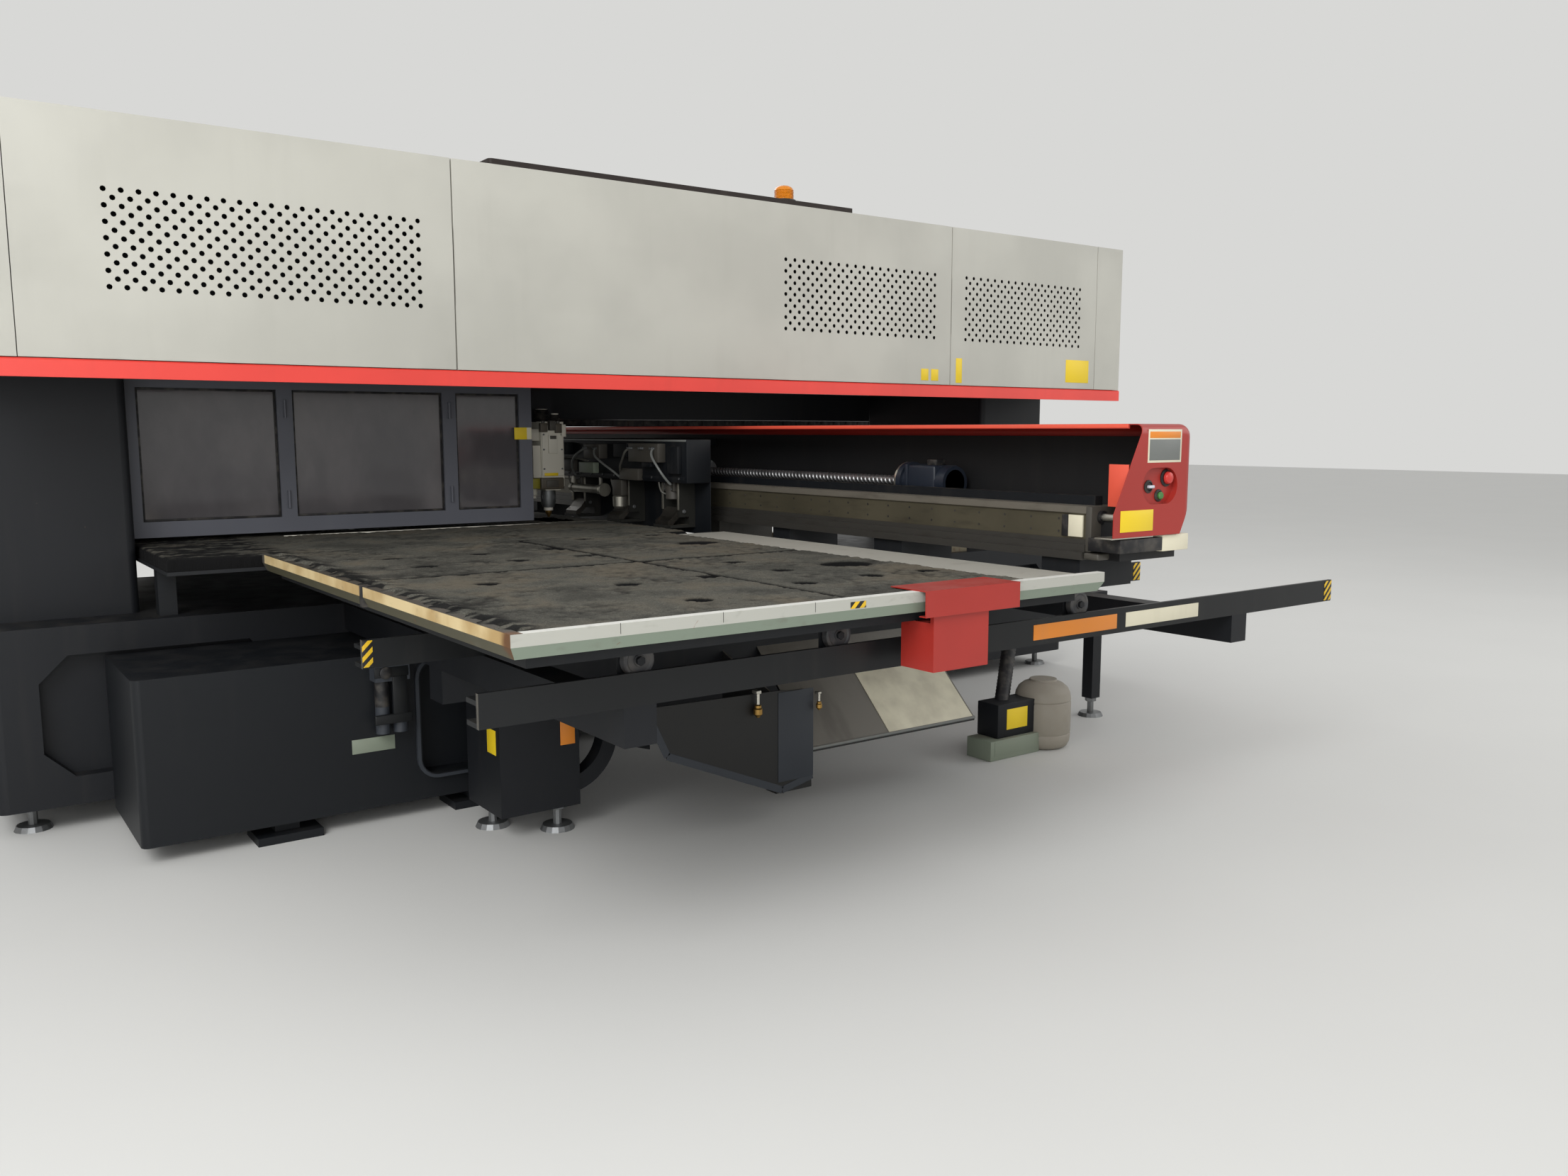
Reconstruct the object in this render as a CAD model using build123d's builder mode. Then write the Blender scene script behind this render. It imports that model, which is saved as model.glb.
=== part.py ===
from build123d import *
import os

# A laser cutting machine of the bridge kind, with brush tables that travel with its feed beam.
# Millimetres. +X runs along the bridge, +Y away from the operator along the feed beam, +Z up.
# The origin is on the floor under the middle of the machine.

# Driving dimensions: the working heights
pass_line = 950.0           # tips of the table brushes, where the sheet slides
bed_top = 712.0             # top of the lower frame and underside of the table rails
bed_bottom = 90.0           # underside of the lower frame, above its feet
beam_underside = 960.0      # underside of the feed beam
cover_top = 1390.0          # top of the feed beam's red cover
housing_bottom = 1534.0     # underside of the red skirt round the bridge housing
housing_top = 2355.0        # top of the bridge housing

# Driving dimensions: the bridge
housing_length = 5450.0
housing_depth = 1986.0
sheet_metal = 3.0
panel_fold = 25.0           # depth of the folded edge of a panel
cut_over = 1.0              # how far a cut reaches past the side that it leaves open
panel_gap = 6.0             # open seam between two panels
panel_corner = 12.0
skirt_nose = 6.0
skirt_height = 58.0
skirt_seam = 2.0
end_wrap = 215.0            # how far an end panel wraps round to the front
seam_left = -1115.0
seam_right = 1420.0
ceiling = 10.0              # thickness of the plate under the upper frame
ceiling_bottom = 1590.0
rib = 20.0
frame_corner = 30.0
roof_space = 115.0          # between the upper frame and the housing's top
bed_depth = 1400.0
bed_corner = 40.0
pocket_count = 5            # shallow pockets along each side of the lower frame
pocket_width = 760.0
pocket_margin = 100.0
pocket_corner = 90.0
pocket_depth = 60.0
column_width = 500.0
column_depth = 1000.0
column_inset = 75.0         # from the housing's end to the column's outer face
web_y = (620.0, 860.0)      # the upper frame's deep web behind the turret
web_bottom = 1430.0
cap_x = (-963.0, 799.0)
cap_edge = 8.0              # how far the roof cap lies behind the housing's front
cap_back = 500.0
cap_height = 22.0
cap_corner = 15.0
cap_overhang = 80.0
beacon_x = 520.0
beacon_y = -825.0
beacon_radius = 45.0
beacon_height = 95.0
beacon_base_height = 30.0
beacon_flange = 8.0
beacon_round = 18.0

# Driving dimensions: the tables and their rails
table_x = (-1845.0, 48.0)   # outer edges of a travelling table
table_end = 3078.0          # its outer edge, from the middle of the machine
table_start = 1025.0        # its inner edge, beside the fixed table
edge_width = 28.0
edge_height = 57.0
brush_height = 45.0
brush_right = -245.0        # where the brushes end and the plain strip starts
mat_seam_x = -910.0         # the seams between the four brush mats of a table
mat_seam_y = -1970.0
mat_seam = 6.0
side_joint_y = -2107.0      # where the side bar is joined from two lengths
side_joint = 4.0
strip_drop = 15.0           # how far the plain strip lies below the brushes
table_frame_depth = 43.0
fixed_table_right = -130.0
column_gap = 10.0           # between the left column and the fixed table
fixed_table_y = 1015.0
table_plate = 12.0
table_leg = 60.0
middle_leg_x = -560.0
table_leg_ys = (-600.0, 560.0)
rail_x = (-1847.0, 1638.0)
inner_rail_x = (-1835.0, 1575.0)
rail_fronts = (2900.0, 2050.0)  # outer faces of the two rails of a table
rail_height = 82.0
rail_wall = 12.0
rail_depth = 70.0
rail_ledge = 18.0           # how far the running ledge lies below the rail's lip
wheel_radius = 42.5
wheel_width = 25.0
wheel_xs = (-1430.0, -811.0, 177.0)
wheel_pin_radius = 10.0
running_clearance = 0.05    # radial, between a pin or shaft and its hole
rest_gap = 0.3              # between surfaces that pass or roll on each other
arm_xs = (-1440.0, 1030.0)
arm_width = 90.0
arm_height = 100.0
base_beam_y = (-1710.0, -1600.0)
base_beam_height = 110.0
leg_x = (-1303.0, -1014.0)
leg_y = (-1720.0, -1440.0)
brace_centre = (-1060.0, 330.0)  # of the round end of the strap beside the leg
brace_radius = 200.0
brace_width = 55.0
brace_depth = 60.0
hanger_width = 130.0        # the plate that hangs beside the strap
hanger_bottom = 235.0
hanger_slant = 40.0
base_plate = 10.0
post_x = 1754.0
post_size = 60.0

hood_x = (-700.0, -345.0)
hood_height = 68.0
hood_depth = 140.0
switch_box_x = (-660.0, -455.0)
switch_box_bottom = 730.0
switch_box_step = 12.0      # how far the box lies behind the hood's face

# Driving dimensions: the feed beam
bed_lip = 22.0              # height of the ground strip along the bed's top edge
bed_groove = 6.0
bed_foot = 40.0             # height of the bed's stepped foot
bed_foot_step = 8.0         # how far the foot's lower half stands out
bed_foot_rise = 24.0        # and how high it is
frame_guide_width = 60.0
bed_face_x = 200.0          # the guide bed's face, towards the head
bed_width = 130.0
bed_height = 145.0
slab_x = (180.0, 520.0)
slab_height = 25.0
bed_end = 2880.0
beam_front = 3040.0         # the red end plate
beam_overhang = 26.0        # how far the beam's rear end and the cover on the table's edge reach past the table
cover_left_x = 267.0
cover_right_x = 515.0
cover_bottom = 1042.0
cover_lip = 15.0
guide_width = 35.0
guide_height = 30.0
guide_offset = 15.0
guide_end = 20.0            # how far the carriage guide ends before the bed does
screw_x = 400.0
screw_z = 1172.0
screw_radius = 20.0
screw_bearing_y = 1850.0
bearing_radius = 75.0
bearing_length = 25.0
motor_length = 230.0
motor_radius = 64.0
stand_width = 90.0
stand_depth = 60.0
stand_inset = 20.0
carriage_y = -250.0
carriage_length = 1300.0
carriage_top = 1330.0
carriage_plate = 35.0
carriage_left_x = -60.0
carriage_reach = 50.0       # how far the carriage reaches past the screw
carriage_cheek = 20.0       # walls that hold the guide on its right and left
carriage_wall = 36.0
carriage_lift = 6.0
apron_height = 190.0
nut_length = 200.0
nut_size = 96.0
clamp_pitch = 450.0
clamp_width = 150.0
lower_jaw = 12.0
jaw_reach = 70.0
jaw_pivot_x = 0.0
jaw_pivot_z = 1010.0
jaw_pin_radius = 8.0
saddle_y = 620.0            # middle of the two saddles that carry the beam on the frame
saddle_width = 220.0
saddle_step = 40.0
frame_guide_height = 38.0
frame_guide_x = (-20.0, 1900.0)

spine_width = 16.0
spine_foot = 90.0           # length of the block at each end, which ties the spine to the slab
spine_foot_inset = 60.0
spine_foot_rise = 60.0
end_left_x = 130.0
end_foot = (55.0, 110.0)    # the cut corner at the end plate's foot
end_step = 73.0             # height of the end plate's straight left edge
cap_depth = 60.0
cap_round = 32.0
flap_gap = 5.0
flap_height = 130.0
flap_length = 77.0
recess_centre = (350.0, 1197.0)
recess_size = (175.0, 114.0)
recess_depth = 20.0
e_stop_place = (404.0, 1221.0)
e_stop_stem = 11.0
start_place = (368.0, 1166.0)
start_stem = 9.0
selector_place = (316.0, 1195.0)
selector_stem = 8.0
button_travel = 6.0
head_stand = 1.0            # between a pressed button's head and the panel's face
button_edge = 4.0
stem_back = 15.0            # how far a button's stem reaches behind the panel's face
e_stop_head = (20.0, 14.0)  # radius and length of a head
start_head = (12.0, 8.0)
selector_head = (13.0, 5.0)
lever_size = (25.0, 12.0, 8.0)
lever_stand = 6.0
jaw_gap = 0.5
jaw_side_gap = 1.0
chute_x = (-261.0, 561.0)
chute_box_x = (-418.0, -261.0)
chute_box_z = (98.0, 447.0)
cabinet_x = (-2300.0, -1060.0)
cabinet_depth = 550.0
cabinet_z = (60.0, 600.0)
cabinet_corner = 25.0
bay_place = (-1250.0, 355.0)  # the opening in the cabinet's front
bay_size = (300.0, 410.0)
bay_rim = 14.0
bay_corner = 60.0
bay_depth = 94.0
cabinet_feet_x = (-1855.0, -1180.0)
cabinet_foot_y = -1180.0
cabinet_foot = (210.0, 160.0, 28.0)
cabinet_post = 80.0
air_x = -1510.0
drum_place = (1137.0, -1895.0)

# Driving dimensions: the working head
head_x = -328.0
head_y = -82.0
head_width = 116.0
head_depth = 116.0
head_z = (1090.0, 1410.0)
side_unit = (38.0, 100.0, 150.0)  # the drive on the head's left side
side_unit_z = 1225.0
head_ports = (((-24.0, 0.0), 28.0, 60.0), ((32.0, -24.0), 17.0, 40.0))
nozzle_gap = 10.0           # between the nozzle's tip and the pass line
nozzle_steps = ((4.0, 0.0), (16.0, 32.0), (36.0, 74.0))
turret_x = -1250.0
turret_y = 370.0
turret_radius = 520.0
turret_stations = 16
station_radius = 36.0
station_circle = 430.0
upper_turret_z = (985.0, 1130.0)
lower_turret_z = (800.0, 945.0)
turret_shaft_radius = 80.0
station_sides = 12          # the flats of a punch holder
punch_stand = 20.0          # how far a punch stands out above the upper disc
die_recess = 4.0
ram_radius = 45.0
ram_z = (1185.0, 1470.0)
ram_housing_z = (1420.0, ceiling_bottom)
ram_housing_size = (240.0, 200.0)
ram_housing_cap = 20.0
guard_y = -270.0
rear_guard_y = 940.0
guard_right = -500.0
guard_bottom = 965.0
guard_bar = 60.0
guard_bar_depth = 40.0
guard_posts = (-1560.0, -882.0)
guard_pane = 8.0

os.makedirs("parts", exist_ok=True)

half_length = housing_length / 2
half_depth = housing_depth / 2
column_x = half_length - column_inset
column_inner_x = column_x - column_width
cap_y = (-half_depth + cap_edge, cap_back)
fixed_table_x = (-column_inner_x + column_gap, fixed_table_right)
guard_x = (-column_inner_x, guard_right)
cabinet_y = (-bed_depth / 2 - cabinet_depth, -bed_depth / 2)
beam_back = table_end + beam_overhang


def span(x, y, z, mode=Mode.ADD):
    """A straight-sided block between its low and high faces along each axis."""
    middle = ((x[0] + x[1]) / 2, (y[0] + y[1]) / 2, (z[0] + z[1]) / 2)
    with Locations(middle):
        Box(x[1] - x[0], y[1] - y[0], z[1] - z[0], mode=mode)


def around(middle, width):
    """The low and high faces of something of this width about its middle."""
    return (middle - width / 2, middle + width / 2)


# The O-shaped frame of the bridge: lower frame, two columns and upper frame
with BuildPart() as lower_frame:
    with BuildSketch(Plane.XY.offset(bed_bottom)):
        Rectangle(2 * column_x, bed_depth)
    extrude(amount=bed_top - bed_bottom)
    fillet(lower_frame.edges().filter_by(Axis.Z), bed_corner)
    pocket_height = bed_top - bed_bottom - 2 * pocket_margin
    for side in (-1, 1):
        face = Plane((0, side * bed_depth / 2, (bed_top + bed_bottom) / 2), x_dir=(1, 0, 0), z_dir=(0, side, 0))
        with BuildSketch(face) as pockets:
            with GridLocations(2 * column_x / pocket_count, 1, pocket_count, 1):
                Rectangle(pocket_width, pocket_height)
            chamfer(pockets.vertices(), pocket_corner)
        extrude(amount=-pocket_depth, mode=Mode.SUBTRACT)
lower_frame.part.label = "lower_frame"
export_step(lower_frame.part, "parts/lower_frame.step")

for name, side in (("left_column", -1), ("right_column", 1)):
    outer = side * column_x
    inner = side * (column_x - column_width)
    with BuildPart() as column:
        span(sorted((outer, inner)), (-column_depth / 2, column_depth / 2), (bed_top, ceiling_bottom))
        fillet(column.edges().filter_by(Axis.Z), frame_corner)
    column.part.label = name
    export_step(column.part, f"parts/{name}.step")

with BuildPart() as upper_frame:
    beam_z = (ceiling_bottom + ceiling, housing_top - roof_space)
    span((-column_x, column_x), (-column_depth / 2, column_depth / 2), beam_z)
    inside_x = half_length - panel_fold - rest_gap
    inside_y = half_depth - panel_fold - rest_gap
    span((-inside_x, inside_x), (-inside_y, inside_y), (ceiling_bottom, ceiling_bottom + ceiling))
    for x in (-column_x + rib, seam_left, seam_right, column_x - rib):
        rib_top = housing_top - panel_fold
        span(around(x, rib), (-inside_y, inside_y), (ceiling_bottom + ceiling, rib_top))
    span((-column_x, column_x), web_y, (web_bottom, ceiling_bottom))
upper_frame.part.label = "upper_frame"
export_step(upper_frame.part, "parts/upper_frame.step")


def folded_panel(x, front, depth, z):
    """A sheet-metal pan: a flat face with four folded edges, open towards the frame."""
    side = -1 if front < 0 else 1
    span(x, sorted((front, front - side * depth)), z)
    inner = sorted((front - side * sheet_metal, front - side * (depth + cut_over)))
    span((x[0] + sheet_metal, x[1] - sheet_metal), inner, (z[0] + sheet_metal, z[1] - sheet_metal), Mode.SUBTRACT)


# The housing's panels, with open seams between them
panel_z = (housing_bottom + skirt_height + skirt_seam, housing_top)
seams = (-half_length + end_wrap, seam_left, seam_right, half_length - end_wrap)
half_gap = panel_gap / 2
panel_spans = {
    "left": (seams[0] + half_gap, seams[1] - half_gap),
    "centre": (seams[1] + half_gap, seams[2] - half_gap),
    "right": (seams[2] + half_gap, seams[3] - half_gap),
}
for word, panel_x in panel_spans.items():
    with BuildPart() as front_panel:
        folded_panel(panel_x, -half_depth, panel_fold, panel_z)
    front_panel.part.label = f"front_panel_{word}"
    export_step(front_panel.part, f"parts/front_panel_{word}.step")

with BuildPart() as rear_panels:
    for panel_x in panel_spans.values():
        folded_panel(panel_x, half_depth, panel_fold, panel_z)
rear_panels.part.label = "rear_panels"
export_step(rear_panels.part, "parts/rear_panels.step")

for name, side in (("end_panel_left", -1), ("end_panel_right", 1)):
    outer = side * half_length
    inner = side * (half_length - end_wrap)
    with BuildPart() as end_panel:
        span(sorted((outer, inner)), (-half_depth, half_depth), panel_z)
        corners = end_panel.edges().filter_by(Axis.Z).group_by(Axis.X)[0 if side < 0 else -1]
        fillet(corners, panel_corner)
        hollow_x = sorted((outer - side * panel_fold, inner - side * cut_over))
        hollow_depth = half_depth - panel_fold
        hollow_z = (panel_z[0] - cut_over, panel_z[1] + cut_over)
        span(hollow_x, (-hollow_depth, hollow_depth), hollow_z, Mode.SUBTRACT)
    end_panel.part.label = name
    export_step(end_panel.part, f"parts/{name}.step")

roof_y = half_depth - panel_fold - rest_gap
roof_x = half_length - panel_fold - rest_gap
with BuildPart() as roof_panel:
    span((-roof_x, roof_x), (-roof_y, roof_y), (housing_top - panel_fold, housing_top - panel_fold + sheet_metal))
roof_panel.part.label = "roof_panel"
export_step(roof_panel.part, "parts/roof_panel.step")

with BuildPart() as roof_cap:
    span(cap_x, cap_y, (housing_top, housing_top + cap_height))
    fillet(roof_cap.edges().filter_by(Axis.Z), cap_corner)
    cap_foot_x = (cap_x[0] + cap_overhang, cap_x[1] - cap_overhang)
    cap_foot_y = (cap_y[0] + cap_overhang, cap_y[1] - cap_overhang)
    span(cap_foot_x, cap_foot_y, (housing_top - panel_fold + sheet_metal, housing_top))
roof_cap.part.label = "roof_cap"
export_step(roof_cap.part, "parts/roof_cap.step")

# The red skirt along the foot of the front and rear panels
with BuildPart() as skirt_strips:
    for side in (-1, 1):
        with BuildSketch(Plane.YZ.offset(-half_length)):
            with BuildLine():
                front = side * half_depth
                inner = side * (half_depth - panel_fold)
                top = housing_bottom + skirt_height
                Polyline(
                    (inner, top),
                    (front - side * skirt_nose, top),
                    (front, top - skirt_nose),
                    (front, housing_bottom),
                    (inner, housing_bottom),
                    close=True,
                )
            make_face()
        extrude(amount=housing_length)
skirt_strips.part.label = "skirt_strips"
export_step(skirt_strips.part, "parts/skirt_strips.step")

beacon_foot = housing_top + cap_height
beacon_neck = beacon_foot + beacon_base_height
with BuildPart() as beacon_base:
    with BuildSketch(Plane.XY.offset(beacon_foot)):
        with Locations((beacon_x, beacon_y)):
            Circle(beacon_radius + beacon_flange)
    extrude(amount=beacon_base_height)
beacon_base.part.label = "beacon_base"
export_step(beacon_base.part, "parts/beacon_base.step")

with BuildPart() as beacon_lens:
    with BuildSketch(Plane.XY.offset(beacon_neck)):
        with Locations((beacon_x, beacon_y)):
            Circle(beacon_radius)
    extrude(amount=beacon_height - beacon_base_height)
    chamfer(beacon_lens.edges().group_by(Axis.Z)[-1], beacon_round)
beacon_lens.part.label = "beacon_lens"
export_step(beacon_lens.part, "parts/beacon_lens.step")

# The smoky guards in front of and behind the turret
guard_top = ceiling_bottom
pane_posts = (guard_x[0] + guard_bar / 2, *guard_posts, guard_x[1] - guard_bar / 2)
with BuildPart() as guard_frames:
    for y in (guard_y, rear_guard_y):
        bar_y = around(y, guard_bar_depth)
        span(guard_x, bar_y, (guard_bottom, guard_bottom + guard_bar))
        span(guard_x, bar_y, (guard_top - guard_bar, guard_top))
        for x in pane_posts:
            span(around(x, guard_bar), bar_y, (guard_bottom, guard_top))
guard_frames.part.label = "guard_frames"
export_step(guard_frames.part, "parts/guard_frames.step")

with BuildPart() as guard_panes:
    for y in (guard_y, rear_guard_y):
        for x0, x1 in zip(pane_posts[:-1], pane_posts[1:]):
            pane_x = (x0 + guard_bar / 2, x1 - guard_bar / 2)
            span(pane_x, around(y, guard_pane), (guard_bottom + guard_bar, guard_top - guard_bar))
guard_panes.part.label = "guard_panes"
export_step(guard_panes.part, "parts/guard_panes.step")

# The turret: two discs of tool stations, with the ram over the working station
def turret_disc(z, shaft_z, stand):
    """A disc on its shaft, with a punch or die standing in each station."""
    with BuildSketch(Plane.XY.offset(z[0])) as disc:
        with Locations((turret_x, turret_y)):
            Circle(turret_radius)
    extrude(disc.sketch, amount=z[1] - z[0])
    with BuildSketch(Plane.XY.offset(shaft_z[0])) as shaft:
        with Locations((turret_x, turret_y)):
            Circle(turret_shaft_radius)
    extrude(shaft.sketch, amount=shaft_z[1] - shaft_z[0])
    with BuildSketch(Plane.XY.offset(z[1])) as stations:
        with Locations((turret_x, turret_y)):
            with PolarLocations(station_circle, turret_stations, start_angle=-90):
                RegularPolygon(station_radius, station_sides)
    if stand > 0:
        extrude(stations.sketch, amount=stand)
    else:
        extrude(stations.sketch, amount=stand, mode=Mode.SUBTRACT)


with BuildPart() as upper_turret:
    shaft_z = (upper_turret_z[1], ceiling_bottom - rest_gap)
    turret_disc(upper_turret_z, shaft_z, punch_stand)
upper_turret.part.label = "upper_turret"
export_step(upper_turret.part, "parts/upper_turret.step")

with BuildPart() as lower_turret:
    shaft_z = (bed_top + rest_gap, lower_turret_z[0])
    turret_disc(lower_turret_z, shaft_z, -die_recess)
lower_turret.part.label = "lower_turret"
export_step(lower_turret.part, "parts/lower_turret.step")

station_y = turret_y - station_circle
with BuildPart() as ram_housing:
    span(around(turret_x, ram_housing_size[0]), around(station_y, ram_housing_size[1]), ram_housing_z)
    with BuildSketch(Plane.XY.offset(ram_housing_z[0])):
        with Locations((turret_x, station_y)):
            Circle(ram_radius + running_clearance)
    extrude(amount=ram_housing_z[1] - ram_housing_z[0] - ram_housing_cap, mode=Mode.SUBTRACT)
ram_housing.part.label = "ram_housing"
export_step(ram_housing.part, "parts/ram_housing.step")

with BuildPart() as ram:
    with BuildSketch(Plane.XY.offset(ram_z[0])):
        with Locations((turret_x, station_y)):
            Circle(ram_radius)
    extrude(amount=ram_z[1] - ram_z[0])
ram.part.label = "ram"
export_step(ram.part, "parts/ram.step")

# The laser head on its mount under the upper frame
head_back = head_y + head_depth / 2
mount_depth = 60.0
mount_rise = 60.0           # how far its foot lies above the head's
mount_corner = 20.0
head_chamfer = 20.0
with BuildPart() as laser_mount:
    mount_y = (head_back + rest_gap, head_back + mount_depth)
    span(around(head_x, head_width), mount_y, (head_z[0] + mount_rise, ceiling_bottom))
    fillet(laser_mount.edges().filter_by(Axis.Y).group_by(Axis.Z)[0], mount_corner)
laser_mount.part.label = "laser_mount"
export_step(laser_mount.part, "parts/laser_mount.step")

with BuildPart() as laser_head:
    span(around(head_x, head_width), around(head_y, head_depth), head_z)
    chamfer(laser_head.edges().filter_by(Axis.Y).group_by(Axis.Z)[0], head_chamfer)
    side_x = (head_x - head_width / 2 - side_unit[0], head_x - head_width / 2)
    span(side_x, around(head_y, side_unit[1]), around(side_unit_z, side_unit[2]))
    for (x, y), radius, height in head_ports:
        with BuildSketch(Plane.XY.offset(head_z[1])):
            with Locations((head_x + x, head_y + y)):
                Circle(radius)
        extrude(amount=height)
laser_head.part.label = "laser_head"
export_step(laser_head.part, "parts/laser_head.step")

nozzle_tip = pass_line + nozzle_gap
with BuildPart() as laser_nozzle:
    with BuildSketch(Plane.XZ.offset(-head_y)):
        with BuildLine():
            steps = [(head_x + radius, nozzle_tip + rise) for radius, rise in nozzle_steps]
            Polyline(
                (head_x, nozzle_tip),
                *steps,
                (steps[-1][0], head_z[0]),
                (head_x, head_z[0]),
                close=True,
            )
        make_face()
    revolve(axis=Axis((head_x, head_y, 0), (0, 0, 1)))
laser_nozzle.part.label = "laser_nozzle"
export_step(laser_nozzle.part, "parts/laser_nozzle.step")

# The fixed table between the lower frame and the head
fixed_table_y_span = (-fixed_table_y, fixed_table_y)
brush_bottom = pass_line - brush_height
plate_z = (brush_bottom - table_plate, brush_bottom)
turret_clearance = 12.0
slag_hole = (150.0, 260.0)
slag_corner = 20.0


def head_openings(z):
    """The round opening for the lower turret and the slot under the nozzle."""
    with BuildSketch(Plane.XY.offset(z[0])) as openings:
        with Locations((turret_x, turret_y)):
            Circle(turret_radius + turret_clearance)
        with Locations((head_x, head_y)):
            RectangleRounded(slag_hole[0], slag_hole[1], slag_corner)
    extrude(openings.sketch, amount=z[1] - z[0], mode=Mode.SUBTRACT)


with BuildPart() as fixed_table:
    span(fixed_table_x, fixed_table_y_span, plate_z)
    head_openings(plate_z)
    for x in (fixed_table_x[0] + table_leg, middle_leg_x, fixed_table_x[1] - table_leg):
        for y in table_leg_ys:
            span(around(x, table_leg), around(y, table_leg), (bed_top, plate_z[0]))
fixed_table.part.label = "fixed_table"
export_step(fixed_table.part, "parts/fixed_table.step")

with BuildPart() as fixed_brushes:
    span(fixed_table_x, fixed_table_y_span, (brush_bottom, pass_line))
    head_openings((brush_bottom, pass_line))
fixed_brushes.part.label = "fixed_brushes"
export_step(fixed_brushes.part, "parts/fixed_brushes.step")

# The bases that carry the travelling tables' rails, in front of and behind the lower frame
rail_bottom = bed_top
rail_top = rail_bottom + rail_height
ledge_top = rail_top - rail_ledge
arm_z = (rail_bottom - arm_height, rail_bottom)
base_beam_z = (arm_z[0] - base_beam_height, arm_z[0])
foot_height = bed_bottom


def table_base():
    """Two cantilever arms, a cross beam, a box leg and a tube post."""
    for x in arm_xs:
        span(around(x, arm_width), (-rail_fronts[0], -bed_depth / 2), arm_z)
    span((arm_xs[0] - arm_width / 2, post_x + post_size / 2), base_beam_y, base_beam_z)
    span(leg_x, leg_y, (foot_height, base_beam_z[0]))
    span(around(post_x, post_size), around(sum(base_beam_y) / 2, post_size), (foot_height, base_beam_z[0]))


brace_right = brace_centre[0] + brace_radius
brace_plane = Plane.XZ.offset(-base_beam_y[0])
with BuildPart() as front_base:
    table_base()
    with BuildSketch(brace_plane):
        with Locations(brace_centre):
            Circle(brace_radius)
            Circle(brace_radius - brace_width, mode=Mode.SUBTRACT)
        with Locations((brace_centre[0] + brace_radius / 2, brace_centre[1] - brace_radius / 2)):
            Rectangle(brace_radius, brace_radius, mode=Mode.INTERSECT)
        with Locations((brace_right - brace_width / 2, (brace_centre[1] + base_beam_z[0]) / 2)):
            Rectangle(brace_width, base_beam_z[0] - brace_centre[1])
    extrude(amount=-brace_depth)
    with BuildSketch(brace_plane):
        with BuildLine():
            Polyline(
                (brace_right, base_beam_z[0]),
                (brace_right + hanger_width, base_beam_z[0]),
                (brace_right + hanger_width, hanger_bottom),
                (brace_right, hanger_bottom + hanger_slant),
                close=True,
            )
        make_face()
    extrude(amount=-base_plate)
front_base.part.label = "front_base"
export_step(front_base.part, "parts/front_base.step")

with BuildPart() as rear_base:
    table_base()
    mirror(about=Plane.XZ, mode=Mode.REPLACE)
rear_base.part.label = "rear_base"
export_step(rear_base.part, "parts/rear_base.step")

# Levelling feet: a pad, a threaded stud and a lock nut under each leg
foot_inset = 110.0
foot_pad_radius = 60.0
foot_pad_height = 18.0
foot_pad_sides = 16
foot_pad_taper = 25.0
foot_stud_sides = 8
foot_stud_radius = 15.0
foot_nut_height = 18.0
foot_nut_radius = 27.0
foot_nut_sides = 6
leg_foot_inset = 60.0
base_post_y = sum(base_beam_y) / 2
foot_x = column_x - foot_inset
foot_y = bed_depth / 2 - foot_inset
foot_places = [(x, y) for x in (-foot_x, 0.0, foot_x) for y in (-foot_y, foot_y)]
for side in (-1, 1):
    foot_places += [(leg_x[1] - leg_foot_inset, -side * (leg_y[0] + leg_foot_inset))]
    foot_places += [(leg_x[0] + leg_foot_inset, -side * (leg_y[1] - leg_foot_inset))]
    foot_places += [(post_x, side * -base_post_y)]
with BuildPart() as levelling_feet:
    with BuildSketch(Plane.XY):
        with Locations(*foot_places):
            RegularPolygon(foot_pad_radius, foot_pad_sides)
    extrude(amount=foot_pad_height, taper=foot_pad_taper)
    with BuildSketch(Plane.XY.offset(foot_pad_height)):
        with Locations(*foot_places):
            RegularPolygon(foot_stud_radius, foot_stud_sides)
    extrude(amount=foot_height - foot_pad_height)
    with BuildSketch(Plane.XY.offset(foot_height - foot_nut_height)):
        with Locations(*foot_places):
            RegularPolygon(foot_nut_radius, foot_nut_sides)
    extrude(amount=foot_nut_height)
levelling_feet.part.label = "levelling_feet"
export_step(levelling_feet.part, "parts/levelling_feet.step")

with BuildPart() as table_rails:
    for front, rail_span in zip(rail_fronts, (rail_x, inner_rail_x)):
        with BuildSketch(Plane.YZ.offset(rail_span[0])):
            with BuildLine():
                Polyline(
                    (-front, rail_bottom),
                    (-front + rail_depth, rail_bottom),
                    (-front + rail_depth, rail_bottom + rail_wall),
                    (-front + rail_wall, rail_bottom + rail_wall),
                    (-front + rail_wall, ledge_top - rail_wall),
                    (-front + rail_depth, ledge_top - rail_wall),
                    (-front + rail_depth, ledge_top),
                    (-front + rail_wall, ledge_top),
                    (-front + rail_wall, rail_top),
                    (-front, rail_top),
                    close=True,
                )
            make_face()
        extrude(amount=rail_span[1] - rail_span[0])
    mirror(about=Plane.XZ)
table_rails.part.label = "table_rails"
export_step(table_rails.part, "parts/table_rails.step")

# The travelling tables: frame, brushes, edges and wheels
frame_inset = 60.0
frame_z = (brush_bottom - table_frame_depth, brush_bottom)
wheel_z = ledge_top + rest_gap + wheel_radius
wheel_gap = 6.0
bracket_wall = 14.0
bracket_width = 70.0
bracket_lift = 14.0
edge_z = (pass_line - edge_height, pass_line)
strip_top = pass_line - strip_drop
link_width = 160.0
inner_link_y = (-1300.0, -1180.0)
link_lap = 20.0             # from the slab's left edge to where a link meets its underside
pin_end = 2.0               # how far a wheel's pin stops short


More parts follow.
